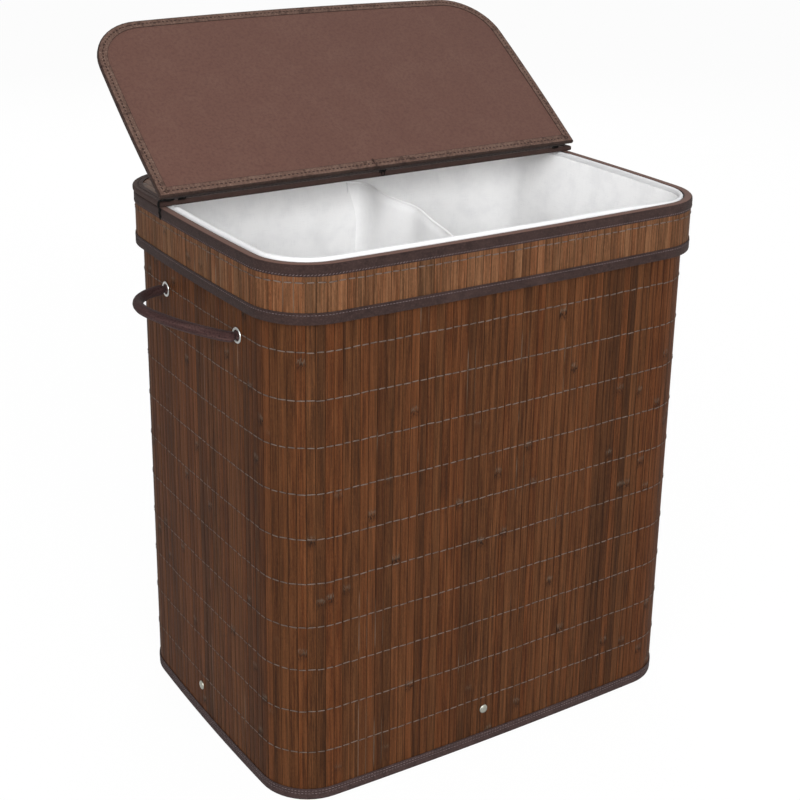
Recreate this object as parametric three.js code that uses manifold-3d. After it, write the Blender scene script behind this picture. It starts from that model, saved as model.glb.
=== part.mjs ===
// Laundry hamper with two bins: a wall of bamboo slats woven into one mat, a cloth liner with
// a divider, a slip-over lid with a hinged flap, and two rope handles.
// Millimetres, +Z up. The origin is the middle of the base's underside, and the front faces -Y.
import * as THREE from 'three'
import { mergeVertices } from 'three/addons/utils/BufferGeometryUtils.js'
import Module from 'manifold-3d'

const wasm = await Module()
wasm.setup()

// Driving dimensions: plan of the wall, measured over the slats, and heights from the floor
const wall = { width: 520, depth: 368, cornerRadius: 56, frontBow: 3.3, sideBow: 2.5, height: 582 }
const slat = { pitch: 9.5, thickness: 2.2, groove: 0.7, lidThickness: 1.5, lidGroove: 0.5 }
const backing = { thickness: 1.6, lidThickness: 1.1 }
const tape = {
  thickness: 0.6, baseHeight: 9, rimHeight: 10, lidHeight: 12, panelWidth: 11, lidRounding: 1.8,
}
const wire = { radius: 1.6 }
const liner = {
  thickness: 0.8, cuffDrop: 32, rollRadius: 3.1, straightDrop: 22, slopeDrop: 52, inset: 12.2,
}
const divider = { thickness: 1.2, backX: 24, frontX: -60, hemDrop: 12, sag: 30, belly: 34 }
const lid = {
  height: 59, clearance: 1.5, lapInwards: 1.5, overhang: 1, hingeY: 63, openAngle: 144, axisClearance: 1.1,
}
const panel = { liningThickness: 0.4, boardThickness: 1.6, slatThickness: 1.3, slatGroove: 0.5 }
const base = { thickness: 5, tabHeight: 62, tabWidth: 120, tabFoot: 30, tabThickness: 1.6 }
const rivet = { height: 42, headRadius: 5, headThickness: 1.8, shankRadius: 2, capThickness: 1.2 }
const rivetDomeShares = { shoulder: 0.86, crown: 0.4 }
const rivetPlaces = { front: -17, right: 0, back: 0, left: 15 }
const eyelet = {
  drop: 33, spacing: 165, flangeRadius: 8, flangeThickness: 1.1, boreRadius: 5.8, barrel: 0.6,
}
const washer = { radius: 9, thickness: 0.9 }
const rope = { radius: 5.5, reach: 48.5, neckRadius: 5.2, knotRadius: 9, knotLength: 5.6, middleY: -7 }
const knotShoulderShare = 0.8
const tack = { radius: 1.1, length: 9, sideInset: 26 }

// Clearances: between pieces that touch, between pieces that slide, and every cut's overrun
const seat = 0.3
const slide = 0.5
const overrun = 3

// The rope's loop in plan, from its back eyelet to its front one: share of its reach outwards from
// the wall, and share of the eyelets' spacing
const ropeRouteShares = [
  [0, 0], [0.11, 0.009], [0.305, 0.027], [0.549, 0.061], [0.768, 0.115], [0.927, 0.188],
  [1, 0.279], [0.976, 0.382], [0.89, 0.485], [0.78, 0.588], [0.646, 0.685], [0.476, 0.788],
  [0.293, 0.885], [0.134, 0.958], [0.049, 0.991], [0, 1],
]

// The divider's hem, from the back wall to the front one: share of its belly and of its sag
const hemShares = [
  [0.55, 0.45], [0.8, 0.82], [1, 0.98], [1, 1], [0.88, 0.98], [0.62, 0.86], [0.36, 0.66],
  [0.16, 0.4], [0.02, 0.12],
]

// Counts of steps
const steps = {
  side: 4, round: 10, roll: 5, wireSides: 5, rope: 26, ropeSides: 8, tackSides: 6, dividerRows: 5,
}

// Levels of the rim, from the floor up to the lid's top face
const floor = 0
const lidTop = wall.height
const lapUnderside = lidTop - 2 * tape.thickness - 2 * seat - 2 * wire.radius
const cuffTop = lapUnderside - seat
const rimTapeTop = cuffTop - liner.thickness - seat
const wallTop = rimTapeTop - tape.thickness - 2 * seat - 2 * wire.radius
const wallBottom = tape.thickness + seat
const lidBottom = lidTop - lid.height
const eyeletHeight = lidBottom - eyelet.drop

// Offsets outwards from the faces of the wall's slats
const backingOuter = -slat.thickness - seat
const backingInner = backingOuter - backing.thickness
const tapeOuter = seat + tape.thickness
const tapeInner = backingInner - seat - tape.thickness
const cuffInner = tapeOuter + seat
const cuffOuter = cuffInner + liner.thickness
const lidTapeInner = cuffOuter + lid.clearance
const lidInner = lidTapeInner + tape.thickness + seat
const lidBackingOuter = lidInner + backing.lidThickness
const lidSlatInner = lidBackingOuter + seat
const lidSlatOuter = lidSlatInner + slat.lidThickness
const lidTapeOuter = lidSlatOuter + seat + tape.thickness
const panelEdge = lidTapeOuter + lid.overhang
const linerOuter = -liner.inset

// Levels of the lid's panels, from the lid's top face up
const panelBottom = lidTop + seat
const liningBottom = panelBottom + tape.thickness + seat
const boardBottom = liningBottom + panel.liningThickness + seat
const slatsBottom = boardBottom + panel.boardThickness + seat
const slatsTop = slatsBottom + panel.slatThickness
const panelTop = slatsTop + seat + tape.thickness
const hingeZ = panelTop + lid.axisClearance

// Materials
function finish(color, roughness, metalness = 0) {
  return new THREE.MeshStandardMaterial({ color, roughness, metalness })
}
const bamboo = finish(0x5d3a26, 0.6)
const lidBamboo = finish(0x6b452b, 0.6)
const brownTape = finish(0x3a2c2b, 0.9)
const brownCloth = finish(0x6c4e48, 0.9)
const whiteCloth = finish(0xe6e6e6, 0.9)
const board = finish(0x9a7b57, 0.8)
const cord = finish(0x46302c, 0.9)
const nickel = finish(0xb9b9b5, 0.25, 1)
const steel = finish(0x8d8f90, 0.4, 1)
const thread = finish(0x17130f, 0.9)

// Group that holds the whole hamper
const hamper = new THREE.Group()

// A geometry with merged vertices, its faces pointing outwards
function closed(geometry) {
  geometry.deleteAttribute('normal')
  geometry.deleteAttribute('uv')
  const merged = mergeVertices(geometry)
  merged.setIndex(wholeFaces(merged.index.array))
  if (signedVolume(merged) < 0) {
    const index = merged.index.array
    for (let i = 0; i < index.length; i += 3) [index[i], index[i + 1]] = [index[i + 1], index[i]]
  }
  return merged
}

// The faces that still have three corners: a lathe's rows close to a point on its axis
function wholeFaces(index) {
  const faces = []
  for (let i = 0; i < index.length; i += 3) {
    const [a, b, c] = [index[i], index[i + 1], index[i + 2]]
    if (a !== b && b !== c && c !== a) faces.push(a, b, c)
  }
  return faces
}

// Six times the enclosed volume, negative where the faces point inwards
function signedVolume(geometry) {
  const [a, b, c] = [new THREE.Vector3(), new THREE.Vector3(), new THREE.Vector3()]
  const { index, attributes } = geometry
  let volume = 0
  for (let i = 0; i < index.count; i += 3) {
    a.fromBufferAttribute(attributes.position, index.getX(i))
    b.fromBufferAttribute(attributes.position, index.getX(i + 1))
    c.fromBufferAttribute(attributes.position, index.getX(i + 2))
    volume += a.dot(b.cross(c))
  }
  return volume
}

// Solids for joining and cutting, and back again
function solid(geometry) {
  const shape = closed(geometry)
  const vertProperties = new Float32Array(shape.attributes.position.array)
  const triVerts = new Uint32Array(shape.index.array)
  return new wasm.Manifold(new wasm.Mesh({ numProp: 3, vertProperties, triVerts }))
}

function geometryOf(manifold) {
  const mesh = manifold.getMesh()
  const geometry = new THREE.BufferGeometry()
  geometry.setAttribute('position', new THREE.BufferAttribute(new Float32Array(mesh.vertProperties), 3))
  geometry.setIndex(new THREE.BufferAttribute(new Uint32Array(mesh.triVerts), 1))
  return geometry
}

function add(parent, name, geometry, material) {
  const mesh = new THREE.Mesh(geometry, material)
  mesh.name = name
  parent.add(mesh)
  return mesh
}

// Plan outline: four long arcs and four corner arcs, all tangent to each other.
// The corner arcs' centre is where the circles of both long arcs, less the corner's radius, meet.
const sideRadius = (chord, bow) => (chord * chord + bow * bow) / (2 * bow)
const frontRadius = sideRadius(wall.width / 2 - wall.cornerRadius, wall.frontBow)
const endRadius = sideRadius(wall.depth / 2 - wall.cornerRadius, wall.sideBow)
const frontCentre = new THREE.Vector2(0, wall.depth / 2 - frontRadius)
const endCentre = new THREE.Vector2(wall.width / 2 - endRadius, 0)

function cornerCentre() {
  const [r1, r2] = [frontRadius - wall.cornerRadius, endRadius - wall.cornerRadius]
  const between = endCentre.clone().sub(frontCentre)
  const distance = between.length()
  const along = (r1 * r1 - r2 * r2 + distance * distance) / (2 * distance)
  const across = Math.sqrt(r1 * r1 - along * along)
  const unit = between.divideScalar(distance)
  const square = new THREE.Vector2(unit.y, -unit.x)
  return frontCentre.clone().addScaledVector(unit, along).addScaledVector(square, across)
}

const corner = cornerCentre()
const frontHalfAngle = Math.atan2(corner.x, corner.y - frontCentre.y)
const endHalfAngle = Math.atan2(corner.y, corner.x - endCentre.x)

// The eight arcs in order, anticlockwise from the front: centre, radius, first and last angle
const quarter = Math.PI / 2
const arcs = []
for (let k = 0; k < 4; k++) {
  const [across, next] = k % 2 ? [endHalfAngle, frontHalfAngle] : [frontHalfAngle, endHalfAngle]
  const middle = (k - 1) * quarter
  const outward = new THREE.Vector2(Math.cos(middle), Math.sin(middle))
  const centre = outward.multiplyScalar(k % 2 ? endCentre.x : frontCentre.y)
  const [radius, from, to] = [k % 2 ? endRadius : frontRadius, middle - across, middle + across]
  arcs.push({ centre, radius, from, to })
  const turn = new THREE.Vector2(k < 2 ? corner.x : -corner.x, k === 1 || k === 2 ? corner.y : -corner.y)
  arcs.push({ centre: turn, radius: wall.cornerRadius, from: to, to: middle + quarter - next, turns: true })
}

// A place on the outline: the point on the slats' faces and the way out of the wall
function placeOn(arc, angle) {
  const normal = new THREE.Vector2(Math.cos(angle), Math.sin(angle))
  return { point: arc.centre.clone().addScaledVector(normal, arc.radius), normal }
}

// Places round the outline, each arc in a number of steps of its own
function places(count) {
  const round = []
  for (const arc of arcs) {
    const n = count(arc)
    for (let i = 0; i < n; i++) round.push(placeOn(arc, arc.from + (arc.to - arc.from) * (i / n)))
  }
  return round
}

const slatsAlong = (arc) => Math.round((arc.radius * (arc.to - arc.from)) / slat.pitch)
const slatPlaces = places(slatsAlong)
const ringPlaces = places((arc) => (arc.turns ? slatsAlong(arc) : steps.side))

const offset = (place, out) => place.point.clone().addScaledVector(place.normal, out)
const outline = (round, out) => round.map((place) => offset(place, out))

// A ring: a closed section of [outwards, up] points, turned on a lathe and laid round the outline
function ring(section) {
  const points = [...section, section[0]].map(([out, up]) => new THREE.Vector2(out, up))
  const lathe = new THREE.LatheGeometry(points, ringPlaces.length)
  const position = lathe.attributes.position
  for (let i = 0; i < position.count; i++) {
    const [out, up] = section[(i % points.length) % section.length]
    const at = offset(ringPlaces[Math.floor(i / points.length) % ringPlaces.length], out)
    position.setXYZ(i, at.x, at.y, up)
  }
  return closed(lathe)
}

const band = (inner, outer, low, high) => [[outer, low], [outer, high], [inner, high], [inner, low]]

// A tape folded over an edge: the fold lies at one level and both legs run to the other
function foldedTape(inner, outer, fold, legEnd) {
  const back = fold + Math.sign(legEnd - fold) * tape.thickness
  const [inside, outside] = [inner + tape.thickness, outer - tape.thickness]
  return [
    [outer, fold], [outer, legEnd], [outside, legEnd], [outside, back],
    [inside, back], [inside, legEnd], [inner, legEnd], [inner, fold],
  ]
}

const wireSection = (out, up) => Array.from({ length: steps.wireSides }, (_, i) => {
  const angle = (2 * Math.PI * i) / steps.wireSides
  return [out + wire.radius * Math.cos(angle), up + wire.radius * Math.sin(angle)]
})

// A flat piece from a closed outline, between two levels
function slab(points, low, high, hole) {
  const shape = new THREE.Shape(points)
  if (hole) shape.holes.push(new THREE.Path(hole))
  const geometry = new THREE.ExtrudeGeometry(shape, { depth: high - low, bevelEnabled: false })
  return closed(geometry.translate(0, 0, low))
}

// A mat: every slat is crowned between the grooves on both sides of it
function mat(outer, inner, groove, low, high) {
  const points = []
  slatPlaces.forEach((place, i) => {
    const next = slatPlaces[(i + 1) % slatPlaces.length]
    const [start, end] = [offset(place, outer), offset(next, outer)]
    points.push(offset(place, outer - groove), start.lerp(end, 0.5))
  })
  return slab(points, low, high, outline(ringPlaces, inner))
}

// A frame on one side of the wall: x out of the wall, y along it, z up, on the slats' faces
function onWall(arc, along, height) {
  const angle = (arc.from + arc.to) / 2 + along / arc.radius
  const { point, normal } = placeOn(arc, angle)
  const frame = new THREE.Group()
  frame.position.set(point.x, point.y, height)
  frame.rotation.z = Math.atan2(normal.y, normal.x)
  frame.updateMatrixWorld()
  return frame
}

const sides = { front: arcs[0], right: arcs[2], back: arcs[4], left: arcs[6] }

// A turned piece about the way out of the wall, from [outwards, radius] points
function turned(section, count = steps.round) {
  const points = section.map(([out, radius]) => new THREE.Vector2(radius, out))
  return closed(new THREE.LatheGeometry(points, count).rotateZ(-quarter))
}

function drill(radius) {
  const depth = -wall.cornerRadius / 2
  return solid(turned([[depth, 0], [depth, radius], [overrun, radius], [overrun, 0]]))
}

function drillAll(geometry, frames) {
  let piece = solid(geometry)
  for (const { frame, radius } of frames) {
    piece = piece.subtract(drill(radius).transform(frame.matrix.elements))
  }
  return geometryOf(piece)
}

// Places of the eyelets and rivets; the handles' middle lies a little in front of the wall's middle
const eyeletFrames = {}
for (const [side, sign] of [['left', -1], ['right', 1]]) {
  for (const [end, half] of [['front', -0.5], ['back', 0.5]]) {
    const along = sign * (rope.middleY + half * eyelet.spacing)
    eyeletFrames[`${side}_${end}`] = onWall(sides[side], along, eyeletHeight)
  }
}
const rivetFrames = {}
for (const [side, along] of Object.entries(rivetPlaces)) {
  const sign = side === 'back' || side === 'left' ? -1 : 1
  rivetFrames[side] = onWall(sides[side], sign * along, rivet.height)
}
const barrelRadius = eyelet.boreRadius + eyelet.barrel
const holes = [
  ...Object.values(eyeletFrames).map((frame) => ({ frame, radius: barrelRadius + seat })),
  ...Object.values(rivetFrames).map((frame) => ({ frame, radius: rivet.shankRadius + seat })),
]

// Wall: the mat, its cloth backing, the taped rim with its wire, and the taped foot
function buildWall(body) {
  const slats = mat(0, -slat.thickness, slat.groove, wallBottom, wallTop)
  add(body, 'wall_slats', drillAll(slats, holes), bamboo)
  const cloth = ring(band(backingInner, backingOuter, wallBottom, wallTop))
  add(body, 'wall_backing', drillAll(cloth, holes), brownCloth)
  const rimTape = foldedTape(tapeInner, tapeOuter, rimTapeTop, rimTapeTop - tape.rimHeight)
  add(body, 'wall_rim_tape', ring(rimTape), brownTape)
  const wireOut = (tapeInner + tapeOuter) / 2
  add(body, 'wall_rim_wire', ring(wireSection(wireOut, wallTop + seat + wire.radius)), steel)
  add(body, 'wall_foot_tape', ring(foldedTape(tapeInner, tapeOuter, floor, tape.baseHeight)), brownTape)
}

// Base: a board inside the foot tape, and four tabs that stand up from it along the wall
const boardEdge = tapeInner - 2 * seat
const tabOuter = backingInner - 2 * seat
const tabInner = tabOuter - base.tabThickness
function buildBase(body) {
  add(body, 'base_board', slab(outline(ringPlaces, boardEdge), floor, base.thickness), board)
  const [foot, overTape] = [base.thickness + seat, tape.baseHeight + seat]
  const corners = [
    [tabOuter, overTape], [tabOuter, base.tabHeight], [tabInner, base.tabHeight],
    [tabInner, foot + base.tabThickness], [tabOuter - base.tabFoot, foot + base.tabThickness],
    [tabOuter - base.tabFoot, foot], [boardEdge, foot], [boardEdge, overTape],
  ]
  for (const side of Object.keys(sides)) {
    const shape = new THREE.Shape(corners.map(([out, up]) => new THREE.Vector2(out, up)))
    const tab = new THREE.ExtrudeGeometry(shape, { depth: base.tabWidth, bevelEnabled: false })
    tab.translate(0, 0, -base.tabWidth / 2).rotateX(quarter)
    const frame = onWall(sides[side], 0, floor)
    const cut = rivetFrames[side]
    const piece = solid(tab).transform(frame.matrix.elements)
    const hole = drill(rivet.shankRadius + seat).transform(cut.matrix.elements)
    add(body, `base_tab_${side}`, geometryOf(piece.subtract(hole)), brownCloth)
  }
}

// Rivets: a domed head on the slats, and a cap on the tab's inner face
function buildRivets(body) {
  const [head, crown] = [seat, seat + rivet.headThickness]
  const cap = tabInner - seat
  const end = cap - rivet.capThickness
  const section = [
    [end, 0], [end, rivet.headRadius], [cap, rivet.headRadius], [cap, rivet.shankRadius],
    [head, rivet.shankRadius],
    [head, rivet.headRadius], [(head + crown) / 2, rivet.headRadius * rivetDomeShares.shoulder],
    [crown, rivet.headRadius * rivetDomeShares.crown], [crown, 0],
  ]
  for (const [side, frame] of Object.entries(rivetFrames)) {
    add(body, `rivet_${side}`, turned(section).applyMatrix4(frame.matrix), nickel)
  }
}

// Eyelets: a flanged barrel through the wall, a washer inside, and the rope's knotted end in it
const flangeFace = seat + eyelet.flangeThickness
const washerOuter = backingInner - seat
const washerInner = washerOuter - washer.thickness
function buildEyelets(body) {
  const { boreRadius, flangeRadius, flangeThickness } = eyelet
  const barrelEnd = washerInner
  const flangeMiddle = seat + flangeThickness / 2
  const bore = [
    [barrelEnd, boreRadius], [barrelEnd, barrelRadius], [seat, barrelRadius], [seat, flangeRadius],
    [flangeMiddle, flangeRadius], [flangeFace, (flangeRadius + boreRadius) / 2], [flangeMiddle, boreRadius],
  ]
  const plate = band(washerInner, washerOuter, barrelRadius + seat, washer.radius)
  const [neckEnd, knotStart] = [flangeFace - seat, washerInner - seat]
  const knotEnd = knotStart - rope.knotLength
  const knot = [
    [knotEnd, 0], [knotEnd, rope.knotRadius / 2], [(knotStart + knotEnd) / 2, rope.knotRadius],
    [knotStart, rope.knotRadius * knotShoulderShare], [knotStart, rope.neckRadius],
    [neckEnd, rope.neckRadius], [neckEnd, 0],
  ]
  for (const [name, frame] of Object.entries(eyeletFrames)) {
    add(body, `eyelet_${name}`, turned([...bore, bore[0]]).applyMatrix4(frame.matrix), nickel)
    add(body, `eyelet_washer_${name}`, turned([...plate, plate[0]]).applyMatrix4(frame.matrix), nickel)
    add(body, `rope_knot_${name}`, turned(knot).applyMatrix4(frame.matrix), cord)
  }
}

// The cuff's roll, inside the lid's lap: it bulges up from the fold to the level of the lid's top
function rollSection() {
  const out = -lid.lapInwards - seat - liner.rollRadius
  const up = lidTop - liner.rollRadius
  const foot = Math.asin((up - cuffTop) / liner.rollRadius)
  return Array.from({ length: steps.roll + 1 }, (_, i) => {
    const angle = -foot + (Math.PI + 2 * foot) * (i / steps.roll)
    return [out + liner.rollRadius * Math.cos(angle), up + liner.rollRadius * Math.sin(angle)]
  })
}

// Liner: a cloth bag whose cuff folds over the rim, its floor, and the divider with a sagging hem
function buildLiner(body) {
  const t = liner.thickness
  const throat = tapeInner - seat
  const straight = cuffTop - liner.straightDrop
  const slope = straight - liner.slopeDrop
  const bottom = base.thickness + seat + base.tabThickness + seat
  const section = [
    [cuffOuter, cuffTop - liner.cuffDrop], [cuffOuter, cuffTop], ...rollSection(),
    [throat - t, cuffTop - t], [throat - t, straight], [linerOuter - t, slope],
    [linerOuter - t, bottom], [linerOuter, bottom], [linerOuter, slope], [throat, straight],
    [throat, cuffTop - t], [cuffInner, cuffTop - t], [cuffInner, cuffTop - liner.cuffDrop],
  ]
  add(body, 'liner_bag', ring(section), whiteCloth)
  const floorEdge = linerOuter - t - seat
  add(body, 'liner_floor', slab(outline(ringPlaces, floorEdge), bottom, bottom + t), whiteCloth)
  const cloth = dividerCloth(bottom + t + seat, floorEdge, throat - t - seat, [straight, slope])
  add(body, 'liner_divider', cloth, whiteCloth)
}

// The divider hangs on a slant between the bag's front and back walls, sewn to them along straight
// seams; its free hem sags and bellies out
function dividerCloth(low, edge, throatEdge, slopes) {
  const [back, front] = [wall.depth / 2, -wall.depth / 2]
  const columns = hemShares.length - 1
  const cloth = new THREE.BoxGeometry(1, 1, 1, 1, columns, steps.dividerRows)
  const position = cloth.attributes.position
  for (let i = 0; i < position.count; i++) {
    const [across, along, up] = [position.getX(i), 0.5 - position.getY(i), position.getZ(i) + 0.5]
    const [bellyShare, sagShare] = hemShares[Math.round(along * columns)]
    const hem = cuffTop - divider.hemDrop - sagShare * divider.sag
    const seamX = THREE.MathUtils.lerp(divider.backX, divider.frontX, along)
    const x = seamX + divider.belly * bellyShare * up * up + across * divider.thickness
    position.setXYZ(i, x, THREE.MathUtils.lerp(back, front, along), THREE.MathUtils.lerp(low, hem, up))
  }
  const [straight, slope] = slopes
  const outside = ring([
    [edge, low - overrun], [edge, slope], [throatEdge, straight], [throatEdge, cuffTop],
    [overrun, cuffTop], [overrun, low - overrun],
  ])
  return geometryOf(solid(cloth).subtract(solid(outside)))
}

// Lid band: its own slat mat and backing, taped at both edges, with a wire in the upper fold
function buildLidBand(body) {
  const [low, high] = [lidBottom + tape.thickness + seat, lidTop - tape.lidRounding - seat]
  add(body, 'lid_band_slats', mat(lidSlatOuter, lidSlatInner, slat.lidGroove, low, high), lidBamboo)
  add(body, 'lid_band_backing', ring(band(lidInner, lidBackingOuter, low, high)), brownCloth)
  const lowerTape = foldedTape(lidTapeInner, lidTapeOuter, lidBottom, lidBottom + tape.lidHeight)
  add(body, 'lid_lower_tape', ring(lowerTape), brownTape)
  const [t, lapInner] = [tape.thickness, -lid.lapInwards]
  const [lapEnd, shoulder] = [lidInner - seat, lidTop - tape.lidRounding]
  add(body, 'lid_upper_tape', ring([
    [lidTapeOuter, lidTop - tape.lidHeight], [lidTapeOuter, shoulder],
    [lidTapeOuter - tape.lidRounding, lidTop], [lapInner + tape.lidRounding, lidTop],
    [lapInner, shoulder], [lapInner, lapUnderside], [lapEnd, lapUnderside],
    [lapEnd, lapUnderside + t], [lapInner + t, lapUnderside + t], [lapInner + t, shoulder],
    [lapInner + tape.lidRounding, lidTop - t], [lidTapeOuter - tape.lidRounding, lidTop - t],
    [lidTapeOuter - t, shoulder], [lidTapeOuter - t, lidTop - tape.lidHeight],
  ]), brownTape)
  const wireOut = lapInner + t + seat + wire.radius
  add(body, 'lid_wire', ring(wireSection(wireOut, lapUnderside + t + seat + wire.radius)), steel)
}

// A panel of the lid: lining, board and slats inside a folded tape, cut off at the hinge line
function panelPieces(low, high) {
  const inside = (margin, bottom, top) => {
    const cutter = new THREE.BoxGeometry(2 * wall.width, high - low - 2 * margin, 2 * wall.height)
    const span = solid(cutter.translate(0, (low + high) / 2, wall.height))
    return solid(slab(outline(ringPlaces, panelEdge - margin), bottom, top)).intersect(span)
  }
  const inset = tape.thickness + seat
  const whole = inside(0, panelBottom, panelTop)
  const core = inside(tape.thickness, panelBottom + tape.thickness, panelTop - tape.thickness)
  const window = inside(tape.panelWidth, panelBottom - overrun, panelTop + overrun)
  return {
    slats: geometryOf(ribbed(inside(inset, slatsBottom, slatsTop))),
    board: geometryOf(inside(inset, boardBottom, boardBottom + panel.boardThickness)),
    lining: geometryOf(inside(inset, liningBottom, liningBottom + panel.liningThickness)),
    tape: geometryOf(whole.subtract(core).subtract(window)),
  }
}

// Grooves between the slats of a panel, which run from front to back
function ribbed(piece) {
  const count = 2 * Math.round((wall.width / 2 + panelEdge) / slat.pitch)
  const points = [new THREE.Vector2(0, -overrun)]
  for (let i = 0; i <= count; i++) {
    points.push(new THREE.Vector2(i * slat.pitch, panel.slatThickness - panel.slatGroove))
    if (i < count) points.push(new THREE.Vector2((i + 0.5) * slat.pitch, panel.slatThickness))
  }
  points.push(new THREE.Vector2(count * slat.pitch, -overrun))
  const shape = new THREE.Shape(points)
  const geometry = new THREE.ExtrudeGeometry(shape, { depth: 2 * wall.depth, bevelEnabled: false })
  geometry.rotateX(quarter).translate((-count * slat.pitch) / 2, wall.depth, slatsBottom)
  return piece.intersect(solid(geometry))
}

// Rear panel, fixed on the lid band, and the flap, which stands open on the hinge line
function buildPanels(lidBody, flapBody) {
  const reach = wall.depth / 2 + panelEdge + overrun
  const rear = panelPieces(lid.hingeY + lid.axisClearance, reach)
  const flap = panelPieces(-reach, lid.hingeY - lid.axisClearance)
  for (const [body, name, pieces] of [[lidBody, 'rear', rear], [flapBody, 'flap', flap]]) {
    const turn = new THREE.Group()
    if (name === 'flap') {
      turn.position.set(0, lid.hingeY, hingeZ)
      turn.rotation.x = -THREE.MathUtils.degToRad(lid.openAngle)
      for (const piece of Object.values(pieces)) piece.translate(0, -lid.hingeY, -hingeZ)
    }
    body.add(turn)
    add(turn, `${name}_slats`, pieces.slats, lidBamboo)
    add(turn, `${name}_board`, pieces.board, board)
    add(turn, `${name}_lining`, pieces.lining, brownCloth)
    add(turn, `${name}_tape`, pieces.tape, brownTape)
  }
  const side = wall.width / 2 + panelEdge - tack.sideInset
  for (const [name, x] of [['left', -side], ['middle', 0], ['right', side]]) {
    const bundle = new THREE.CylinderGeometry(tack.radius, tack.radius, tack.length, steps.tackSides)
    bundle.rotateZ(quarter).translate(x, lid.hingeY, hingeZ)
    add(lidBody, `hinge_tack_${name}`, closed(bundle), thread)
  }
}

// Handles: a rope loop with round ends that turn in the mouths of its two eyelets
function buildHandle(body, side) {
  const [back, front] = [eyeletFrames[`${side}_back`].position, eyeletFrames[`${side}_front`].position]
  const start = flangeFace + slide + rope.radius
  const route = ropeRouteShares.map(([outShare, alongShare]) => {
    const point = back.clone().lerp(front, alongShare)
    point.x += Math.sign(point.x) * THREE.MathUtils.lerp(start, rope.reach, outShare)
    return point
  })
  const curve = new THREE.CatmullRomCurve3(route)
  const circle = new THREE.Shape(Array.from({ length: steps.ropeSides }, (_, i) => {
    const angle = (2 * Math.PI * (i + 0.5)) / steps.ropeSides
    return new THREE.Vector2(rope.radius * Math.cos(angle), rope.radius * Math.sin(angle))
  }))
  const along = { steps: steps.rope, extrudePath: curve, bevelEnabled: false }
  let loop = solid(new THREE.ExtrudeGeometry(circle, along))
  for (const end of [route[0], route[route.length - 1]]) {
    const ball = new THREE.SphereGeometry(rope.radius, steps.ropeSides, steps.ropeSides / 2)
    loop = loop.add(solid(ball.translate(end.x, end.y, end.z)))
  }
  add(body, `handle_rope_${side}`, geometryOf(loop), cord)
}

const [hamperBody, lidBody, flapBody] = [new THREE.Group(), new THREE.Group(), new THREE.Group()]
hamper.add(hamperBody, lidBody, flapBody)
buildWall(hamperBody)
buildBase(hamperBody)
buildRivets(hamperBody)
buildEyelets(hamperBody)
buildLiner(hamperBody)
buildLidBand(lidBody)
buildPanels(lidBody, flapBody)
buildHandle(hamperBody, 'left')
buildHandle(hamperBody, 'right')

export default hamper
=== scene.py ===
"""Laundry hamper with two bins: the looks of its bamboo mats, tapes, cloth liner, lid and ropes.

Every length is in metres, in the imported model's frame: +Z up, the front facing -Y.
"""

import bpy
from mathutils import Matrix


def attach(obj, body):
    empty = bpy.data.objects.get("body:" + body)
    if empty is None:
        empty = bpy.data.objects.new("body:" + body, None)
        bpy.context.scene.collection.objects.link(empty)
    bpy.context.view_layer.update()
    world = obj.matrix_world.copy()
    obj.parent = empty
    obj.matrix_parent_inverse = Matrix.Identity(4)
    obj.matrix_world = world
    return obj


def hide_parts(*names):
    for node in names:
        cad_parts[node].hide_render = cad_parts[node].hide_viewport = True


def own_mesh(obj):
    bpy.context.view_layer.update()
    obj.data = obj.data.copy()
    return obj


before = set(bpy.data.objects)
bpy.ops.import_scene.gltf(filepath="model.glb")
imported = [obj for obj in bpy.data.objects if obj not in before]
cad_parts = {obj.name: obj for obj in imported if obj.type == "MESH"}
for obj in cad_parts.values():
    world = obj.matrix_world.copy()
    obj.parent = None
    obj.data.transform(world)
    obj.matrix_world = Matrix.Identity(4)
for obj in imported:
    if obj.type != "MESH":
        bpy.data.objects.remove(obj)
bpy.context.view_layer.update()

import logging
import math
import random
from dataclasses import dataclass, field
from enum import Enum
from typing import Callable, Iterable, Sequence

import bmesh
import bpy
from mathutils import Matrix, Vector, noise

LOG = logging.getLogger("hamper")
MM = 0.001
UP = Vector((0, 0, 1))
SHARP_ANGLE = math.radians(42)
RING_STEP = 7 * MM
LINE_STEP = 4 * MM
THREAD_LIFT = 0.1 * MM
RAW_EDGE = 0.1 * MM
FOLD_WIDTH = 1.2 * MM
WELD = 0.001 * MM
MITRE_LIMITS = (0.6, 0.3)
SLAT_BEVEL = 0.07
SLAT_CROWN = 0.06
STITCH_BLUNTNESS = 0.7
STITCH_WANDER = 0.06
CAP_ANGLES = (0.35, 0.7, 1.05, 1.4)
STRAND_SIDES = 6
FIBRE_IOR = 1.4
Colour = tuple[float, float, float, float]
Place = tuple[float, float, float]
Section = Sequence[tuple[float, float]]
WHITE: Colour = (1.0, 1.0, 1.0, 1.0)
NUMBERS = ("across", "along", "tone", "hue", "mark")


def paint(red: int, green: int, blue: int) -> Colour:
    """Turns a colour as a screen shows it into the linear one that a shader takes.

    Args:
        red: Share of red, 0 to 255.
        green: Share of green, 0 to 255.
        blue: Share of blue, 0 to 255.

    Returns:
        The linear colour, with an alpha of 1.
    """
    shares = (red / 255, green / 255, blue / 255)
    linear = [((s + 0.055) / 1.055) ** 2.4 if s > 0.04045 else s / 12.92 for s in shares]
    return (*linear, 1.0)


def smooth(share: float) -> float:
    """Eases a share from 0 to 1 at both ends."""
    share = min(max(share, 0.0), 1.0)
    return share * share * (3 - 2 * share)


def in_mm(points: Iterable[tuple[float, float]]) -> Section:
    """Turns a section that is written in millimetres into metres."""
    return [(first * MM, second * MM) for first, second in points]


class Body(Enum):
    """The bodies that pieces ride on."""

    HAMPER = "hamper"
    LID = "lid"
    FLAP = "lid_flap"
    HANDLE_LEFT = "handle_left"
    HANDLE_RIGHT = "handle_right"


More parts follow.
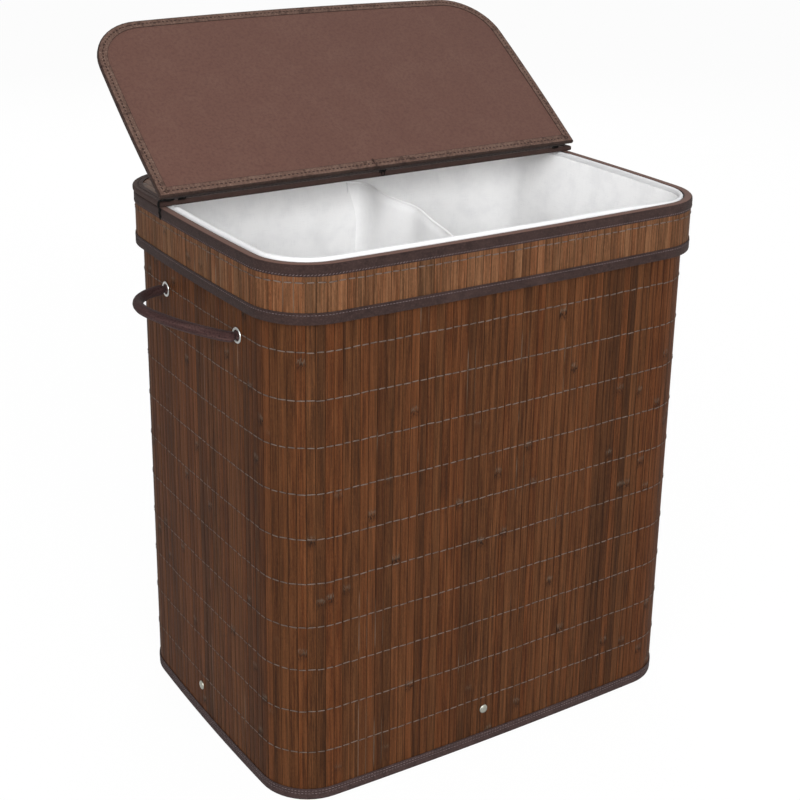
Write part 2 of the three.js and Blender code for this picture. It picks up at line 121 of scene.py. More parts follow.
class Slot(Enum):
    """The record's material slots."""

    BAMBOO = "bamboo"
    LID_BAMBOO = "lid_bamboo"
    TAPE = "brown_tape"
    BROWN_CLOTH = "brown_cloth"
    WHITE_CLOTH = "white_cloth"
    BOARD = "board"
    ROPE = "rope"
    NICKEL = "nickel"
    WIRE = "wire"
    THREAD = "thread"


# --- Shader maths -----------------------------------------------------------------------------


class Channel:
    """A socket of a material's nodes, on which sums are written as Python expressions."""

    def __init__(self, recipe: "Recipe", socket: bpy.types.NodeSocket) -> None:
        """Keeps the socket and the recipe that its nodes go into."""
        self.recipe = recipe
        self.socket = socket

    def math(self, operation: str, *values: "Channel | float") -> "Channel":
        """Adds one Math node whose first value is this channel.

        Args:
            operation: Blender's name of the operation.
            values: The other values, channels or numbers.

        Returns:
            The node's result.
        """
        inputs = dict(enumerate((self, *values)))
        return self.recipe.node("ShaderNodeMath", {"operation": operation}, inputs)

    def __add__(self, other: "Channel | float") -> "Channel":
        """Adds the other value."""
        return self.math("ADD", other)

    __radd__ = __add__

    def __mul__(self, other: "Channel | float") -> "Channel":
        """Multiplies by the other value."""
        return self.math("MULTIPLY", other)

    __rmul__ = __mul__

    def __sub__(self, other: "Channel | float") -> "Channel":
        """Takes the other value away."""
        return self.math("SUBTRACT", other)

    def __truediv__(self, other: "Channel | float") -> "Channel":
        """Divides by the other value."""
        return self.math("DIVIDE", other)

    def __abs__(self) -> "Channel":
        """Drops the sign."""
        return self.math("ABSOLUTE")

    def wave(self, length: float) -> "Channel":
        """A sine of this length along the channel's distance."""
        return (self * (2 * math.pi / length)).math("SINE")

    def rise(self, low: float, high: float) -> "Channel":
        """Eases from 0 at low to 1 at high; high below low gives a fall.

        Args:
            low: Value where the result is 0.
            high: Value where the result is 1.

        Returns:
            The eased share.
        """
        settings = {"interpolation_type": "SMOOTHSTEP"}
        ends = (low, high, 0.0, 1.0) if low < high else (high, low, 1.0, 0.0)
        return self.recipe.node("ShaderNodeMapRange", settings, dict(enumerate((self, *ends))))


Coat = tuple[Channel, float, float, float, Colour]


class Recipe:
    """A material under construction: its nodes, and the shader that they feed."""

    def __init__(self, name: str, **uniform: float | Colour) -> None:
        """Makes the material and sets what is the same all over its surface.

        Args:
            name: Name of the material.
            uniform: Shader sockets' names, with underscores for spaces, and their values.
        """
        self.material = bpy.data.materials.new(name)
        self.material.use_nodes = True
        self.tree = self.material.node_tree
        self.shader = self.tree.nodes["Principled BSDF"]
        for socket, value in uniform.items():
            self.shader.inputs[socket.replace("_", " ")].default_value = value

    def node(self, kind: str, settings: dict, values: dict, output: int | str = 0) -> Channel:
        """Adds a node of any kind.

        Args:
            kind: Blender's name of the node type.
            settings: Its settings, set first.
            values: Values or channels of its inputs, by number or name.
            output: The output to use.

        Returns:
            The output, wrapped for sums.
        """
        node = self.tree.nodes.new(kind)
        for key, value in settings.items():
            setattr(node, key, value)
        for key, value in values.items():
            if isinstance(value, Channel):
                self.tree.links.new(value.socket, node.inputs[key])
            else:
                node.inputs[key].default_value = value
        return Channel(self, node.outputs[output])

    def vector(self, x: Channel | float, y: Channel | float, z: Channel | float) -> Channel:
        """Joins three values into a vector."""
        return self.node("ShaderNodeCombineXYZ", {}, {0: x, 1: y, 2: z})

    def parts(self, vector: Channel) -> tuple[Channel, Channel, Channel]:
        """Splits a vector into its three values."""
        split = self.node("ShaderNodeSeparateXYZ", {}, {0: vector}).socket.node
        return tuple(Channel(self, output) for output in split.outputs)

    def attribute(self, name: str) -> Channel:
        """Reads a number that the piece's own vertices carry."""
        return self.node("ShaderNodeAttribute", {"attribute_name": name}, {}, "Fac")

    def object_place(self) -> Channel:
        """Reads the place on the piece, in metres."""
        return self.node("ShaderNodeTexCoord", {}, {}, "Object")

    def cloth_place(self) -> Channel:
        """Reads the place along and across the cloth, in metres, from the piece's own UV map."""
        return self.node("ShaderNodeUVMap", {"uv_map": "Cloth"}, {})

    def noise(self, place: Channel, scale: float, detail: float = 2.0, roughness: float = 0.5) -> Channel:
        """Fractal noise from 0 to 1.

        Args:
            place: Vector that the noise reads.
            scale: Cells for each unit of the vector.
            detail: Octaves.
            roughness: Strength of each finer octave.

        Returns:
            The noise's value.
        """
        values = {"Vector": place, "Scale": scale, "Detail": detail, "Roughness": roughness}
        return self.node("ShaderNodeTexNoise", {}, values)

    def mix(self, share: Channel | float, first: Channel | Colour, second: Channel | Colour) -> Channel:
        """Blends two colours, from the first at a share of 0 to the second at 1."""
        return self.node("ShaderNodeMix", {"data_type": "RGBA"}, {0: share, 6: first, 7: second}, 2)

    def tint(self, colour: Channel | Colour, *coats: Coat) -> Channel:
        """Lays coats of other colours over a colour, one after the other.

        Args:
            colour: The colour underneath.
            coats: Each coat's channel, the channel's values where the coat starts and where it
                is full, its strength and its colour.

        Returns:
            The colour on top.
        """
        for channel, start, full, strength, coat in coats:
            colour = self.mix(channel.rise(start, full) * strength, colour, coat)
        return colour

    def bump(self, height: Channel, distance: float, strength: float) -> Channel:
        """Relief of that height where the channel is 1, in metres."""
        values = {"Height": height, "Distance": distance, "Strength": strength}
        return self.node("ShaderNodeBump", {}, values)

    def feed(self, **sockets: Channel) -> bpy.types.Material:
        """Links channels to the shader.

        Args:
            sockets: Shader sockets' names, with underscores for spaces, and their channels.

        Returns:
            The finished material.
        """
        for name, channel in sockets.items():
            self.tree.links.new(channel.socket, self.shader.inputs[name.replace("_", " ")])
        return self.material


def cloth_recipe(name: str, sheen: float, spread: float, gloss: float) -> Recipe:
    """Starts a material with a cloth's sheen, the sheen's roughness and little gloss."""
    sheens = {"Sheen_Weight": sheen, "Sheen_Roughness": spread}
    return Recipe(name, IOR=FIBRE_IOR, Specular_IOR_Level=gloss, **sheens)


# --- Finishes ---------------------------------------------------------------------------------


@dataclass(frozen=True)
class StainedBamboo:
    """Stained bamboo slats: red or dull brown by the slat, streaked, with dark nodes."""

    name: str
    red: Colour
    dull: Colour
    dark: Colour
    pale: Colour
    raw: Colour = paint(112, 98, 84)
    node_spacing: float = 310 * MM

    def material(self) -> bpy.types.Material:
        """Makes the material from each slat's own tone, hue, mark, and place across and along."""
        recipe = Recipe(self.name, IOR=FIBRE_IOR, Specular_IOR_Level=0.06)
        across, along, tone, hue, mark = (recipe.attribute(name) for name in NUMBERS)

        def grain(x: Channel, y: Channel, z: Channel, *look: float) -> Channel:
            """Noise over the slats, with its scale, detail and roughness."""
            return recipe.noise(recipe.vector(x, y, z), *look)

        band = grain(across * 2.3 + hue * 97.0, tone * 41.0, along * 5.0, 1.0, 3.0, 0.6)
        fine = grain(across * 8.0 + hue * 53.0, tone * 67.0, along * 16.0, 1.2, 4.0, 0.7)
        broad = grain(across * 1.1 + tone * 83.0, mark * 29.0, along * 4.5, 1.3, 2.0)
        specks = grain(across * 5.0, hue * 61.0, along * 330.0, 0.8, 4.0, 0.65)
        patch = grain(across * 1.4 + mark * 71.0, tone * 37.0, along * 18.0, 1.0, 2.0, 0.55)
        bare = grain(tone * 19.0, hue * 23.0, along * 11.0, 1.0)
        colour = recipe.mix((hue * 0.5 + broad * 1.3 - 0.4).rise(0.05, 1.0), self.dull, self.red)
        colour = recipe.tint(
            colour,
            (band, 0.5, 0.68, 0.45, self.pale), (band, 0.5, 0.33, 0.5, self.dark),
            (fine, 0.5, 0.7, 0.5, self.pale), (fine, 0.5, 0.32, 0.65, self.dark),
            (specks, 0.5, 0.75, 0.35, self.pale), (specks, 0.48, 0.3, 0.4, self.dark),
            (patch, 0.5, 0.72, 0.25, self.pale), (patch, 0.5, 0.3, 0.42, self.dark),
            (tone, 0.6, 0.0, 0.34, self.dark), (tone, 0.7, 1.0, 0.15, self.pale),
        )
        beat = (along / self.node_spacing + mark * 7.3).math("FRACT") - 0.5
        knot = mark.rise(0.36, 0.56) * specks.rise(0.46, 0.54)
        node = abs(beat + band * 0.05 - 0.025).rise(0.03, 0.004) * knot
        fleck = abs(beat - 0.03 + fine * 0.04).rise(0.012, 0.002) * knot
        edge = abs(across).rise(0.9, 1.0)
        raw = edge * mark.rise(0.14, 0.08) * bare.rise(0.54, 0.62)
        for share, coat in (
            (node * 0.95, self.dark), (fleck * 0.3, self.raw),
            (edge * (mark * 0.5 + 0.2), self.dark), (raw * 0.8, self.raw),
        ):
            colour = recipe.mix(share, colour, coat)
        relief = recipe.bump(fine * 0.8 + node * 0.12 + specks * 0.2, 0.25 * MM, 0.55)
        return recipe.feed(Base_Color=colour, Roughness=fine * 0.16 + 0.52, Normal=relief)


@dataclass(frozen=True)
class WovenTape:
    """Heathered woven tape, with fine ribs across it, and a crease colour painted where the piece sets its
    fold number: painted shade on the bindings' raw edges and outer fold, a painted highlight on the band
    tapes' top fold.
    """

    name: str
    base: Colour
    light: Colour
    dark: Colour
    mottle: float = 0.5
    # The crease colour is painted shade where fold is set; the band's top tape passes a lighter one as a
    # painted highlight.
    crease: Colour = paint(24, 17, 16)

    def material(self) -> bpy.types.Material:
        """Makes the material from the place on the piece."""
        recipe = cloth_recipe(self.name, 0.03, 0.5, 0.08)
        place = recipe.object_place()
        yarn = recipe.noise(place, 520.0, 3.0, 0.7)
        patch = recipe.noise(place, 160.0, 3.0, 0.6)
        wear = recipe.noise(place, 28.0, 2.0)
        # The last coat is painted light and shade: the crease colour where the piece's fold number is set.
        colour = recipe.tint(
            self.base,
            (yarn, 0.45, 0.75, self.mottle, self.light), (patch, 0.52, 0.3, self.mottle, self.dark),
            (wear, 0.5, 0.8, 0.25, self.light), (recipe.attribute("fold"), 0.3, 1.0, 0.75, self.crease),
        )
        x, y, z = recipe.parts(place)
        weave = (x + y).wave(1.1 * MM) * (z + x * 0.3).wave(0.9 * MM)
        relief = recipe.bump(yarn * 0.7 + weave * 0.3 + patch * 0.4, 0.3 * MM, 0.6)
        return recipe.feed(Base_Color=colour, Roughness=patch * 0.1 + 0.82, Normal=relief)


@dataclass(frozen=True)
class Calico:
    """Plain-woven white cotton, with slubs and soft creases."""

    name: str
    base: Colour
    shade: Colour

    def material(self) -> bpy.types.Material:
        """Makes the material from the cloth's own UV map."""
        recipe = cloth_recipe(self.name, 0.1, 0.6, 0.2)
        place = recipe.cloth_place()
        u, v, _ = recipe.parts(place)
        warp = recipe.noise(recipe.vector(u * 1500.0, v * 60.0, 0.0), 1.0, 2.0)
        weft = recipe.noise(recipe.vector(u * 60.0, v * 1500.0, 3.0), 1.0, 2.0)
        cloud = recipe.noise(place, 35.0, 3.0, 0.55)
        slub = (warp + weft) * 0.5
        shaded = slub.rise(0.5, 0.28) * 0.5 + cloud.rise(0.6, 0.3) * 0.35
        colour = recipe.mix(shaded, self.base, self.shade)
        weave = u.wave(0.9 * MM) * v.wave(0.9 * MM)
        relief = recipe.bump(slub * 0.6 + weave * 0.25 + cloud * 1.2, 0.35 * MM, 0.5)
        return recipe.feed(Base_Color=colour, Roughness=cloud * 0.06 + 0.88, Normal=relief)


@dataclass(frozen=True)
class PressedCloth:
    """Pressed nonwoven cloth, faintly clouded."""

    name: str
    base: Colour
    light: Colour
    dark: Colour

    def material(self) -> bpy.types.Material:
        """Makes the material from the place on the piece."""
        recipe = cloth_recipe(self.name, 0.06, 0.45, 0.15)
        place = recipe.object_place()
        fibre = recipe.noise(place, 320.0, 4.0, 0.7)
        cloud = recipe.noise(place, 26.0, 4.0, 0.6)
        broad = recipe.noise(place, 5.0, 2.0)
        coats = (cloud, 0.4, 0.7, 0.45, self.light), (broad, 0.55, 0.3, 0.15, self.dark)
        colour = recipe.tint(self.base, *coats)
        x, y, z = recipe.parts(place)
        weave = x.wave(1.3 * MM) * (y * 0.8 + z * 0.6).wave(1.3 * MM)
        colour = recipe.mix(fibre.rise(0.62, 0.32) * 0.55 + weave * 0.12, colour, self.dark)
        relief = recipe.bump(fibre * 0.5 + weave * 0.5, 0.12 * MM, 0.5)
        return recipe.feed(Base_Color=colour, Roughness=fibre * 0.12 + 0.74, Normal=relief)


@dataclass(frozen=True)
class CoveredRope:
    """Rope under a fuzzy knitted cover, whose ribs run slightly round it."""

    name: str
    base: Colour
    light: Colour
    dark: Colour
    girth: float = 34.6 * MM
    ribs: int = 22

    def material(self) -> bpy.types.Material:
        """Makes the material from the rope's own UV map: along it, and round it."""
        recipe = cloth_recipe(self.name, 0.04, 0.4, 0.08)
        place = recipe.cloth_place()
        along, around, _ = recipe.parts(place)
        rib = (along * 0.35 + around).wave(self.girth / self.ribs)
        stitch = (along - around * 0.2).wave(1.9 * MM)
        fuzz = recipe.noise(place, 460.0, 4.0, 0.7)
        streak = recipe.noise(recipe.vector(along * 22.0, around * 240.0, 0.0), 1.0, 3.0)
        colour = recipe.tint(self.base, (streak, 0.45, 0.75, 0.65, self.light))
        shaded = rib.rise(0.2, -1.0) * 0.4 + fuzz.rise(0.54, 0.36) * 0.6
        colour = recipe.mix(shaded, colour, self.dark)
        relief = recipe.bump(rib * 0.4 + stitch * 0.25 + fuzz * 0.9, 0.35 * MM, 0.7)
        return recipe.feed(Base_Color=colour, Roughness=fuzz * 0.1 + 0.82, Normal=relief)


@dataclass(frozen=True)
class BrightMetal:
    """Plated or drawn metal, with faint wipe marks."""

    name: str
    base: Colour
    wear_and_painted_shade: Colour
    roughness: float

    def material(self) -> bpy.types.Material:
        """Makes the material from the place on the piece."""
        recipe = Recipe(self.name, Metallic=1.0)
        place = recipe.object_place()
        wipe = recipe.noise(place, 320.0, 3.0, 0.6)
        spot = recipe.noise(place, 1300.0, 2.0)
        colour = recipe.tint(self.base, (wipe, 0.5, 0.75, 0.6, self.wear_and_painted_shade))
        relief = recipe.bump(spot, 0.04 * MM, 0.3)
        return recipe.feed(Base_Color=colour, Roughness=wipe * 0.22 + self.roughness, Normal=relief)


@dataclass(frozen=True)
class Fibreboard:
    """Pressed fibre board."""

    name: str
    base: Colour
    dark: Colour

    def material(self) -> bpy.types.Material:
        """Makes the material from the place on the piece."""
        recipe = Recipe(self.name)
        place = recipe.object_place()
        fibre = recipe.noise(place, 500.0, 4.0, 0.7)
        cloud = recipe.noise(place, 40.0, 2.0)
        colour = recipe.mix(fibre.rise(0.55, 0.3) * 0.6 + cloud * 0.2, self.base, self.dark)
        relief = recipe.bump(fibre, 0.2 * MM, 0.5)
        return recipe.feed(Base_Color=colour, Roughness=fibre * 0.15 + 0.72, Normal=relief)


@dataclass(frozen=True)
class Yarn:
    """Twisted sewing or weaving thread."""

    name: str
    base: Colour
    dark: Colour
    # The colour of the painted shade at the stitch's ends.
    painted_hole_shade: Colour = paint(20, 14, 12)

    def material(self) -> bpy.types.Material:
        """Makes the material: a twist along each stitch, and painted shade at its ends, where it dives into
        the cloth.
        """
        recipe = Recipe(self.name, IOR=FIBRE_IOR, Specular_IOR_Level=0.1)
        place = recipe.object_place()
        x, y, z = recipe.parts(place)
        twist = (x + y + z * 1.6).wave(0.85 * MM)
        patch = recipe.noise(place, 150.0, 2.0)
        shaded = twist.rise(0.3, -1.0) * 0.4 + patch.rise(0.6, 0.35) * 0.5
        colour = recipe.mix(shaded, self.base, self.dark)
        # Painted shade at both ends of each stitch, where it dives into the cloth.
        colour = recipe.tint(colour, (recipe.attribute("end"), 0.72, 0.95, 1.0, self.painted_hole_shade))
        relief = recipe.bump(twist, 0.15 * MM, 0.5)
        return recipe.feed(Base_Color=colour, Roughness=patch * 0.1 + 0.75, Normal=relief)


class Finishes:
    """Every finish of the hamper, made once, under the record's slot that it belongs to."""

    def __init__(self) -> None:
        """Makes the materials."""
        dyed = paint(42, 31, 29), paint(66, 51, 48), paint(26, 19, 18)
        faded = paint(84, 64, 56), paint(122, 101, 90), paint(52, 38, 33)
        # The rear strip's binding: darker colours than the flap's binding, as painted shade from the flap
        # that leans over it.
        wear_and_painted_shade = paint(60, 45, 41), paint(86, 67, 61), paint(40, 29, 26)
        looks = {
            Slot.BAMBOO: {
                "bamboo": StainedBamboo(
                    "wall_bamboo", paint(71, 37, 17), paint(60, 36, 19), paint(26, 15, 9), paint(94, 59, 35)
                ),
            },
            Slot.LID_BAMBOO: {
                "lid_bamboo": StainedBamboo(
                    "lid_bamboo", paint(90, 53, 31), paint(79, 53, 34), paint(36, 24, 15), paint(118, 85, 60)
                ),
            },
            Slot.TAPE: {
                "tape": WovenTape("binding_tape", *dyed),
                # Lighter crease colour: a painted highlight on the band tapes' top fold.
                "top_tape_with_painted_highlight": WovenTape("lid_top_tape_with_painted_highlight", *dyed, crease=paint(106, 80, 71)),
                "foot_tape": WovenTape("foot_tape", paint(50, 38, 37), paint(80, 63, 60), paint(32, 24, 23)),
                # Default dark crease colour: painted shade on the flap binding's raw edges and outer fold.
                "binding": WovenTape("lid_binding_painted_shade", *faded, mottle=0.75),
                # Darker colours and crease colour: painted shade from the flap on the rear strip's binding.
                "rear_binding_painted_shade": WovenTape("rear_binding_painted_shade", *wear_and_painted_shade, mottle=0.65, crease=paint(46, 34, 31)),
            },
            Slot.THREAD: {
                "stitches": Yarn("tape_stitches", paint(100, 88, 88), paint(62, 53, 54)),
                # Its third colour is the painted shade at the stitches' ends.
                "dark_stitches": Yarn(
                    "binding_stitches", paint(58, 43, 38), paint(40, 29, 26), paint(30, 21, 18)
                ),
                "weft": Yarn("mat_thread", paint(95, 83, 76), paint(60, 51, 46)),
                "black_thread": Yarn("hinge_thread", paint(14, 12, 11), paint(6, 5, 5)),
            },
            Slot.WHITE_CLOTH: {
                "calico": Calico("liner_cloth", paint(240, 240, 240), paint(219, 219, 221)),
                # Divider cloth brighter than the bag's, to make up for the weaker light on the divider:
                # painted light.
                "divider": Calico("divider_cloth_painted_light", paint(254, 254, 254), paint(240, 240, 242)),
                "piping": Calico("hem_cloth", paint(254, 254, 254), paint(246, 246, 247)),
                # Seam cloth in grey: painted shadow of the join where the divider is sewn to the back wall.
                "seam": Calico("seam_cloth_painted_shadow", paint(206, 206, 208), paint(184, 184, 186)),
                # Cuff cloth darker than the bag's, to offset the stronger light on the roll: painted shade.
                "cuff": Calico("liner_cuff_cloth_painted_shade", paint(208, 208, 209), paint(198, 199, 201)),
            },
            Slot.BROWN_CLOTH: {
                "lining": PressedCloth("lid_lining", paint(88, 62, 54), paint(94, 69, 60), paint(72, 48, 43)),
                "backing": PressedCloth(
                    "mat_backing", paint(76, 53, 47), paint(88, 66, 58), paint(58, 41, 38)
                ),
            },
            Slot.ROPE: {
                "rope": CoveredRope(
                    "handle_rope_cover", paint(56, 38, 37), paint(84, 62, 59), paint(26, 17, 17)
                ),
            },
            Slot.NICKEL: {
                "nickel": BrightMetal("nickel_plate", paint(176, 176, 173), paint(132, 130, 127), 0.18),
                # The rivets' nickel: darker and rougher than the eyelets' nickel.
                "darker_nickel": BrightMetal("darker_nickel", paint(152, 152, 142), paint(98, 98, 92), 0.26),
            },
            Slot.WIRE: {"wire": BrightMetal("drawn_wire", paint(150, 150, 152), paint(120, 118, 116), 0.3)},
            Slot.BOARD: {"board": Fibreboard("fibreboard", paint(160, 132, 100), paint(112, 88, 64))},
        }
        self.slots = {name: slot for slot, group in looks.items() for name in group}
        self.materials = {
            name: look.material() for group in looks.values() for name, look in group.items()
        }


# --- Making pieces ----------------------------------------------------------------------------


def settle(name: str, mesh: bmesh.types.BMesh) -> bpy.types.Mesh:
    """Turns a finished mesh into mesh data.

    Args:
        name: Name of the data.
        mesh: The mesh; it is freed.

    Returns:
        The data.
    """
    data = bpy.data.meshes.new(name)
    mesh.to_mesh(data)
    mesh.free()
    return data


def show(name: str, data: bpy.types.ID) -> bpy.types.Object:
    """Puts a mesh, lamp or camera into the scene.

    Args:
        name: Name of the object.
        data: What it shows.

    Returns:
        The object.
    """
    thing = bpy.data.objects.new(name, data)
    bpy.context.scene.collection.objects.link(thing)
    return thing


class Bench:
    """Turns meshes into pieces that ride and stand for nodes, and dresses nodes."""

    def __init__(self, finishes: Finishes) -> None:
        """Starts with the finishes and an empty list of pieces."""
        self.finishes = finishes
        self.made: list[str] = []

    def piece(
        self, name: str, mesh: bmesh.types.BMesh, finish: str, body: Body, *stands_for: str
    ) -> bpy.types.Object:
        """Makes a piece of a finished mesh, shaded smooth apart from its sharp edges.

        Args:
            name: Name of the piece.
            mesh: Its mesh, in the model's frame; it is freed.
            finish: Its finish.
            body: The body that it rides on.
            stands_for: The CAD nodes that it replaces.

        Returns:
            The piece.
        """
        data = settle(name, mesh)
        data.shade_smooth()
        data.set_sharp_from_angle(angle=SHARP_ANGLE)
        data.materials.append(self.finishes.materials[finish])
        piece = show(name, data)
        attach(piece, body.value)
        if stands_for:
            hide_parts(*stands_for)
        self.made.append(name)
        LOG.info("%s on %s: %d faces", name, body.value, len(data.polygons))
        return piece

    def dress(self, finish: str, *nodes: str) -> None:
        """Gives CAD nodes that stay a finish.

        Args:
            finish: The finish.
            nodes: The nodes' names.
        """
        material = self.finishes.materials[finish]
        for name in nodes:
            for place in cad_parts[name].material_slots:
                place.material = material
            LOG.info("%s dressed in %s", name, material.name)


def stamp(
    target: bmesh.types.BMesh, shape: bpy.types.Mesh, place: Matrix, **numbers: Sequence[float]
) -> None:
    """Adds a copy of a small shape to a mesh.

    Args:
        target: The mesh that grows.
        shape: The shape.
        place: Where it goes, with its scale.
        numbers: Values of its vertices, by attribute.
    """
    copy = shape.copy()
    copy.transform(place)
    for name, values in numbers.items():
        copy.attributes[name].data.foreach_set("value", values)
    target.from_mesh(copy)
    bpy.data.meshes.remove(copy)


def template(name: str, build: Callable[[bmesh.types.BMesh], None]) -> bpy.types.Mesh:
    """Builds a small shape once, for stamping.

    Args:
        name: Name of the mesh.
        build: Fills the mesh.

    Returns:
        The shape's mesh.
    """
    mesh = bmesh.new()
    build(mesh)
    return settle(name, mesh)


def axes(x: Vector, y: Vector, z: Vector, origin: Vector) -> Matrix:
    """A matrix whose columns are three scaled axes and an origin."""
    columns = [vector.to_4d() for vector in (x, y, z)]
    for column in columns:
        column.w = 0
    return Matrix((*columns, (*origin, 1.0))).transposed()


@dataclass(frozen=True)
class Arc:
    """One arc of the wall's outline, anticlockwise."""

    centre: Vector
    radius: float
    start: float
    end: float

    @property
    def length(self) -> float:
        """Its length on the slats' faces."""
        return self.radius * (self.end - self.start)

    def at(self, share: float, out: float) -> tuple[Vector, Vector]:
        """A place on it.

        Args:
            share: Share of its length.
            out: Distance outwards from the slats' faces.

        Returns:
            The point at height 0, and the way out of the wall.
        """
        angle = self.start + (self.end - self.start) * share
        normal = Vector((math.cos(angle), math.sin(angle), 0))
        return self.centre + normal * (self.radius + out), normal


@dataclass
class Outline:
    """The wall's plan over its slats: four slightly bowed sides and four round corners."""

    width: float = 520 * MM
    depth: float = 368 * MM
    corner: float = 56 * MM
    front_bow: float = 3.3 * MM
    side_bow: float = 2.5 * MM
    pitch: float = 9.5 * MM
    arcs: list[Arc] = field(init=False)

    def __post_init__(self) -> None:
        """Works out the eight arcs, each tangent to the next."""
        halves = (self.width / 2 - self.corner, self.depth / 2 - self.corner)
        radii = [(c * c + b * b) / (2 * b) for c, b in zip(halves, (self.front_bow, self.side_bow))]
        front = Vector((0, self.depth / 2 - radii[0], 0))
        end = Vector((self.width / 2 - radii[1], 0, 0))
        inner = [radius - self.corner for radius in radii]
        between = end - front
        distance = between.length
        along = (inner[0] ** 2 - inner[1] ** 2 + distance**2) / (2 * distance)
        unit = between / distance
        turn = front + unit * along + Vector((unit.y, -unit.x, 0)) * math.sqrt(inner[0] ** 2 - along**2)
        half = (math.atan2(turn.x, turn.y - front.y), math.atan2(turn.y, turn.x - end.x))
        self.arcs = []
        for k in range(4):
            long, other = (half[1], half[0]) if k % 2 else (half[0], half[1])
            middle = (k - 1) * math.pi / 2
            centre = Vector((math.cos(middle), math.sin(middle), 0)) * (end.x if k % 2 else front.y)
            self.arcs.append(Arc(centre, radii[k % 2], middle - long, middle + long))
            corner = Vector((turn.x if k < 2 else -turn.x, turn.y if k in (1, 2) else -turn.y, 0))
            end_angle = middle + math.pi / 2 - other
            self.arcs.append(Arc(corner, self.corner, middle + long, end_angle))

    @property
    def side(self) -> dict[str, Arc]:
        """The four sides by name."""
        return dict(zip(("front", "right", "back", "left"), self.arcs[::2]))

    def slats(self) -> Iterable[tuple[Arc, float, float]]:
        """Each slat's arc and the shares where it starts and ends."""
        for arc in self.arcs:
            count = round(arc.length / self.pitch)
            for i in range(count):
                yield arc, i / count, (i + 1) / count

    def round(self, out: float, step: float) -> list[Vector]:
        """Points round the outline, moved outwards.

        Args:
            out: Distance outwards from the slats' faces.
            step: Longest distance between points.

        Returns:
            The points at height 0, anticlockwise.
        """
        points = []
        for arc in self.arcs:
            count = math.ceil(arc.length / step)
            points += [arc.at(i / count, out)[0] for i in range(count)]
        return points

    def measure(self, point: Vector) -> tuple[float, float]:
        """Where a point lies round the outline.

        Args:
            point: A point near the wall.

        Returns:
            The distance round the outline, and the distance outwards from the slats' faces.
        """
        run, found = 0.0, []
        for arc in self.arcs:
            way = Vector((point.x, point.y, 0)) - arc.centre
            turn = (math.atan2(way.y, way.x) - arc.start + 1.0) % (2 * math.pi) - 1.0
            over = max(-turn, turn - (arc.end - arc.start), 0.0)
            out = way.length - arc.radius
            found.append((abs(out) + over * arc.radius, run + arc.radius * turn, out))
            run += arc.length
        return min(found)[1:]

    def sweep(self, section: Section, step: float, closed: bool = True) -> bmesh.types.BMesh:
        """Spins a section round every arc in turn.

        Args:
            section: Points of [outwards, up].
            step: Longest distance between rows.
            closed: Whether the section closes on itself.

        Returns:
            The ring, with the UV map Cloth: round the outline, and along the section.
        """
        mesh = bmesh.new()
        layer = mesh.verts.layers.float.new("run")
        verts, run = [], 0.0
        for i, (out, up) in enumerate(section):
            point, _ = self.arcs[0].at(0, out)
            vert = mesh.verts.new((point.x, point.y, up))
            run += math.dist(section[i - 1], (out, up)) if i else 0.0
            vert[layer] = run
            verts.append(vert)
        pairs = list(zip(verts, verts[1:])) + ([(verts[-1], verts[0])] if closed else [])
        last = verts + [mesh.edges.new(pair) for pair in pairs]
        for arc in self.arcs:
            turned = bmesh.ops.spin(
                mesh, geom=last, cent=arc.centre, axis=(0, 0, 1), angle=arc.end - arc.start,
                steps=math.ceil(arc.length / step), use_merge=False, use_duplicate=False,
            )
            last = turned["geom_last"]
        bmesh.ops.remove_doubles(mesh, verts=mesh.verts, dist=0.01 * MM)
        bmesh.ops.recalc_face_normals(mesh, faces=mesh.faces)
        self.unwrap(mesh, layer)
        return mesh

    def unwrap(self, mesh: bmesh.types.BMesh, layer: bmesh.types.BMLayerItem) -> None:
        """Writes the UV map Cloth: the distance round the outline, and the vertices' own run.

        Args:
            mesh: A ring round the outline.
            layer: The vertices' run along the section.
        """
        uv = mesh.loops.layers.uv.new("Cloth")
        total = sum(arc.length for arc in self.arcs)
        for face in mesh.faces:
            marks = [self.measure(vert.co)[0] for vert in face.verts]
            for loop, mark in zip(face.loops, marks):
                wrapped = mark + total if max(marks) - mark > total / 2 else mark
                loop[uv].uv = (wrapped, loop.vert[layer])


def resample(points: Sequence[Vector], pitch: float, closed: bool = False) -> list[tuple[Vector, Vector]]:
    """Even places along a line.

    Args:
        points: The line's points.
        pitch: Distance between places.
        closed: Whether the line returns to its start.

    Returns:
        Each place and the way that the line runs there.
    """
    line = [*points, points[0]] if closed else list(points)
    lengths = [(b - a).length for a, b in zip(line, line[1:])]
    count = max(1, round(sum(lengths) / pitch))
    gap, found, run, k = sum(lengths) / count, [], 0.0, 0
    for i in range(count):
        target = (i + 0.5) * gap
        while k < len(lengths) - 1 and run + lengths[k] < target:
            run += lengths[k]
            k += 1
        way = (line[k + 1] - line[k]).normalized()
        found.append((line[k] + way * (target - run), way))
    return found


def thicken(path: Section, thickness: float) -> Section:
    """The closed section of a strip of tape whose middle follows a path.

    Args:
        path: The middle's points of [outwards, up].
        thickness: Thickness of the tape.

    Returns:
        The section.
    """
    line = [Vector(point) for point in path]
    sides = [Vector((a.y - b.y, b.x - a.x)).normalized() for a, b in zip(line, line[1:])]
    offsets = []
    for before, after in zip([sides[0], *sides], [*sides, sides[-1]]):
        middle = (before + after).normalized()
        offsets.append(middle * thickness / 2 / max(middle.dot(after), MITRE_LIMITS[0]))
    one = [tuple(point + offset) for point, offset in zip(line, offsets)]
    other = [tuple(point - offset) for point, offset in zip(line, offsets)]
    return one + other[::-1]


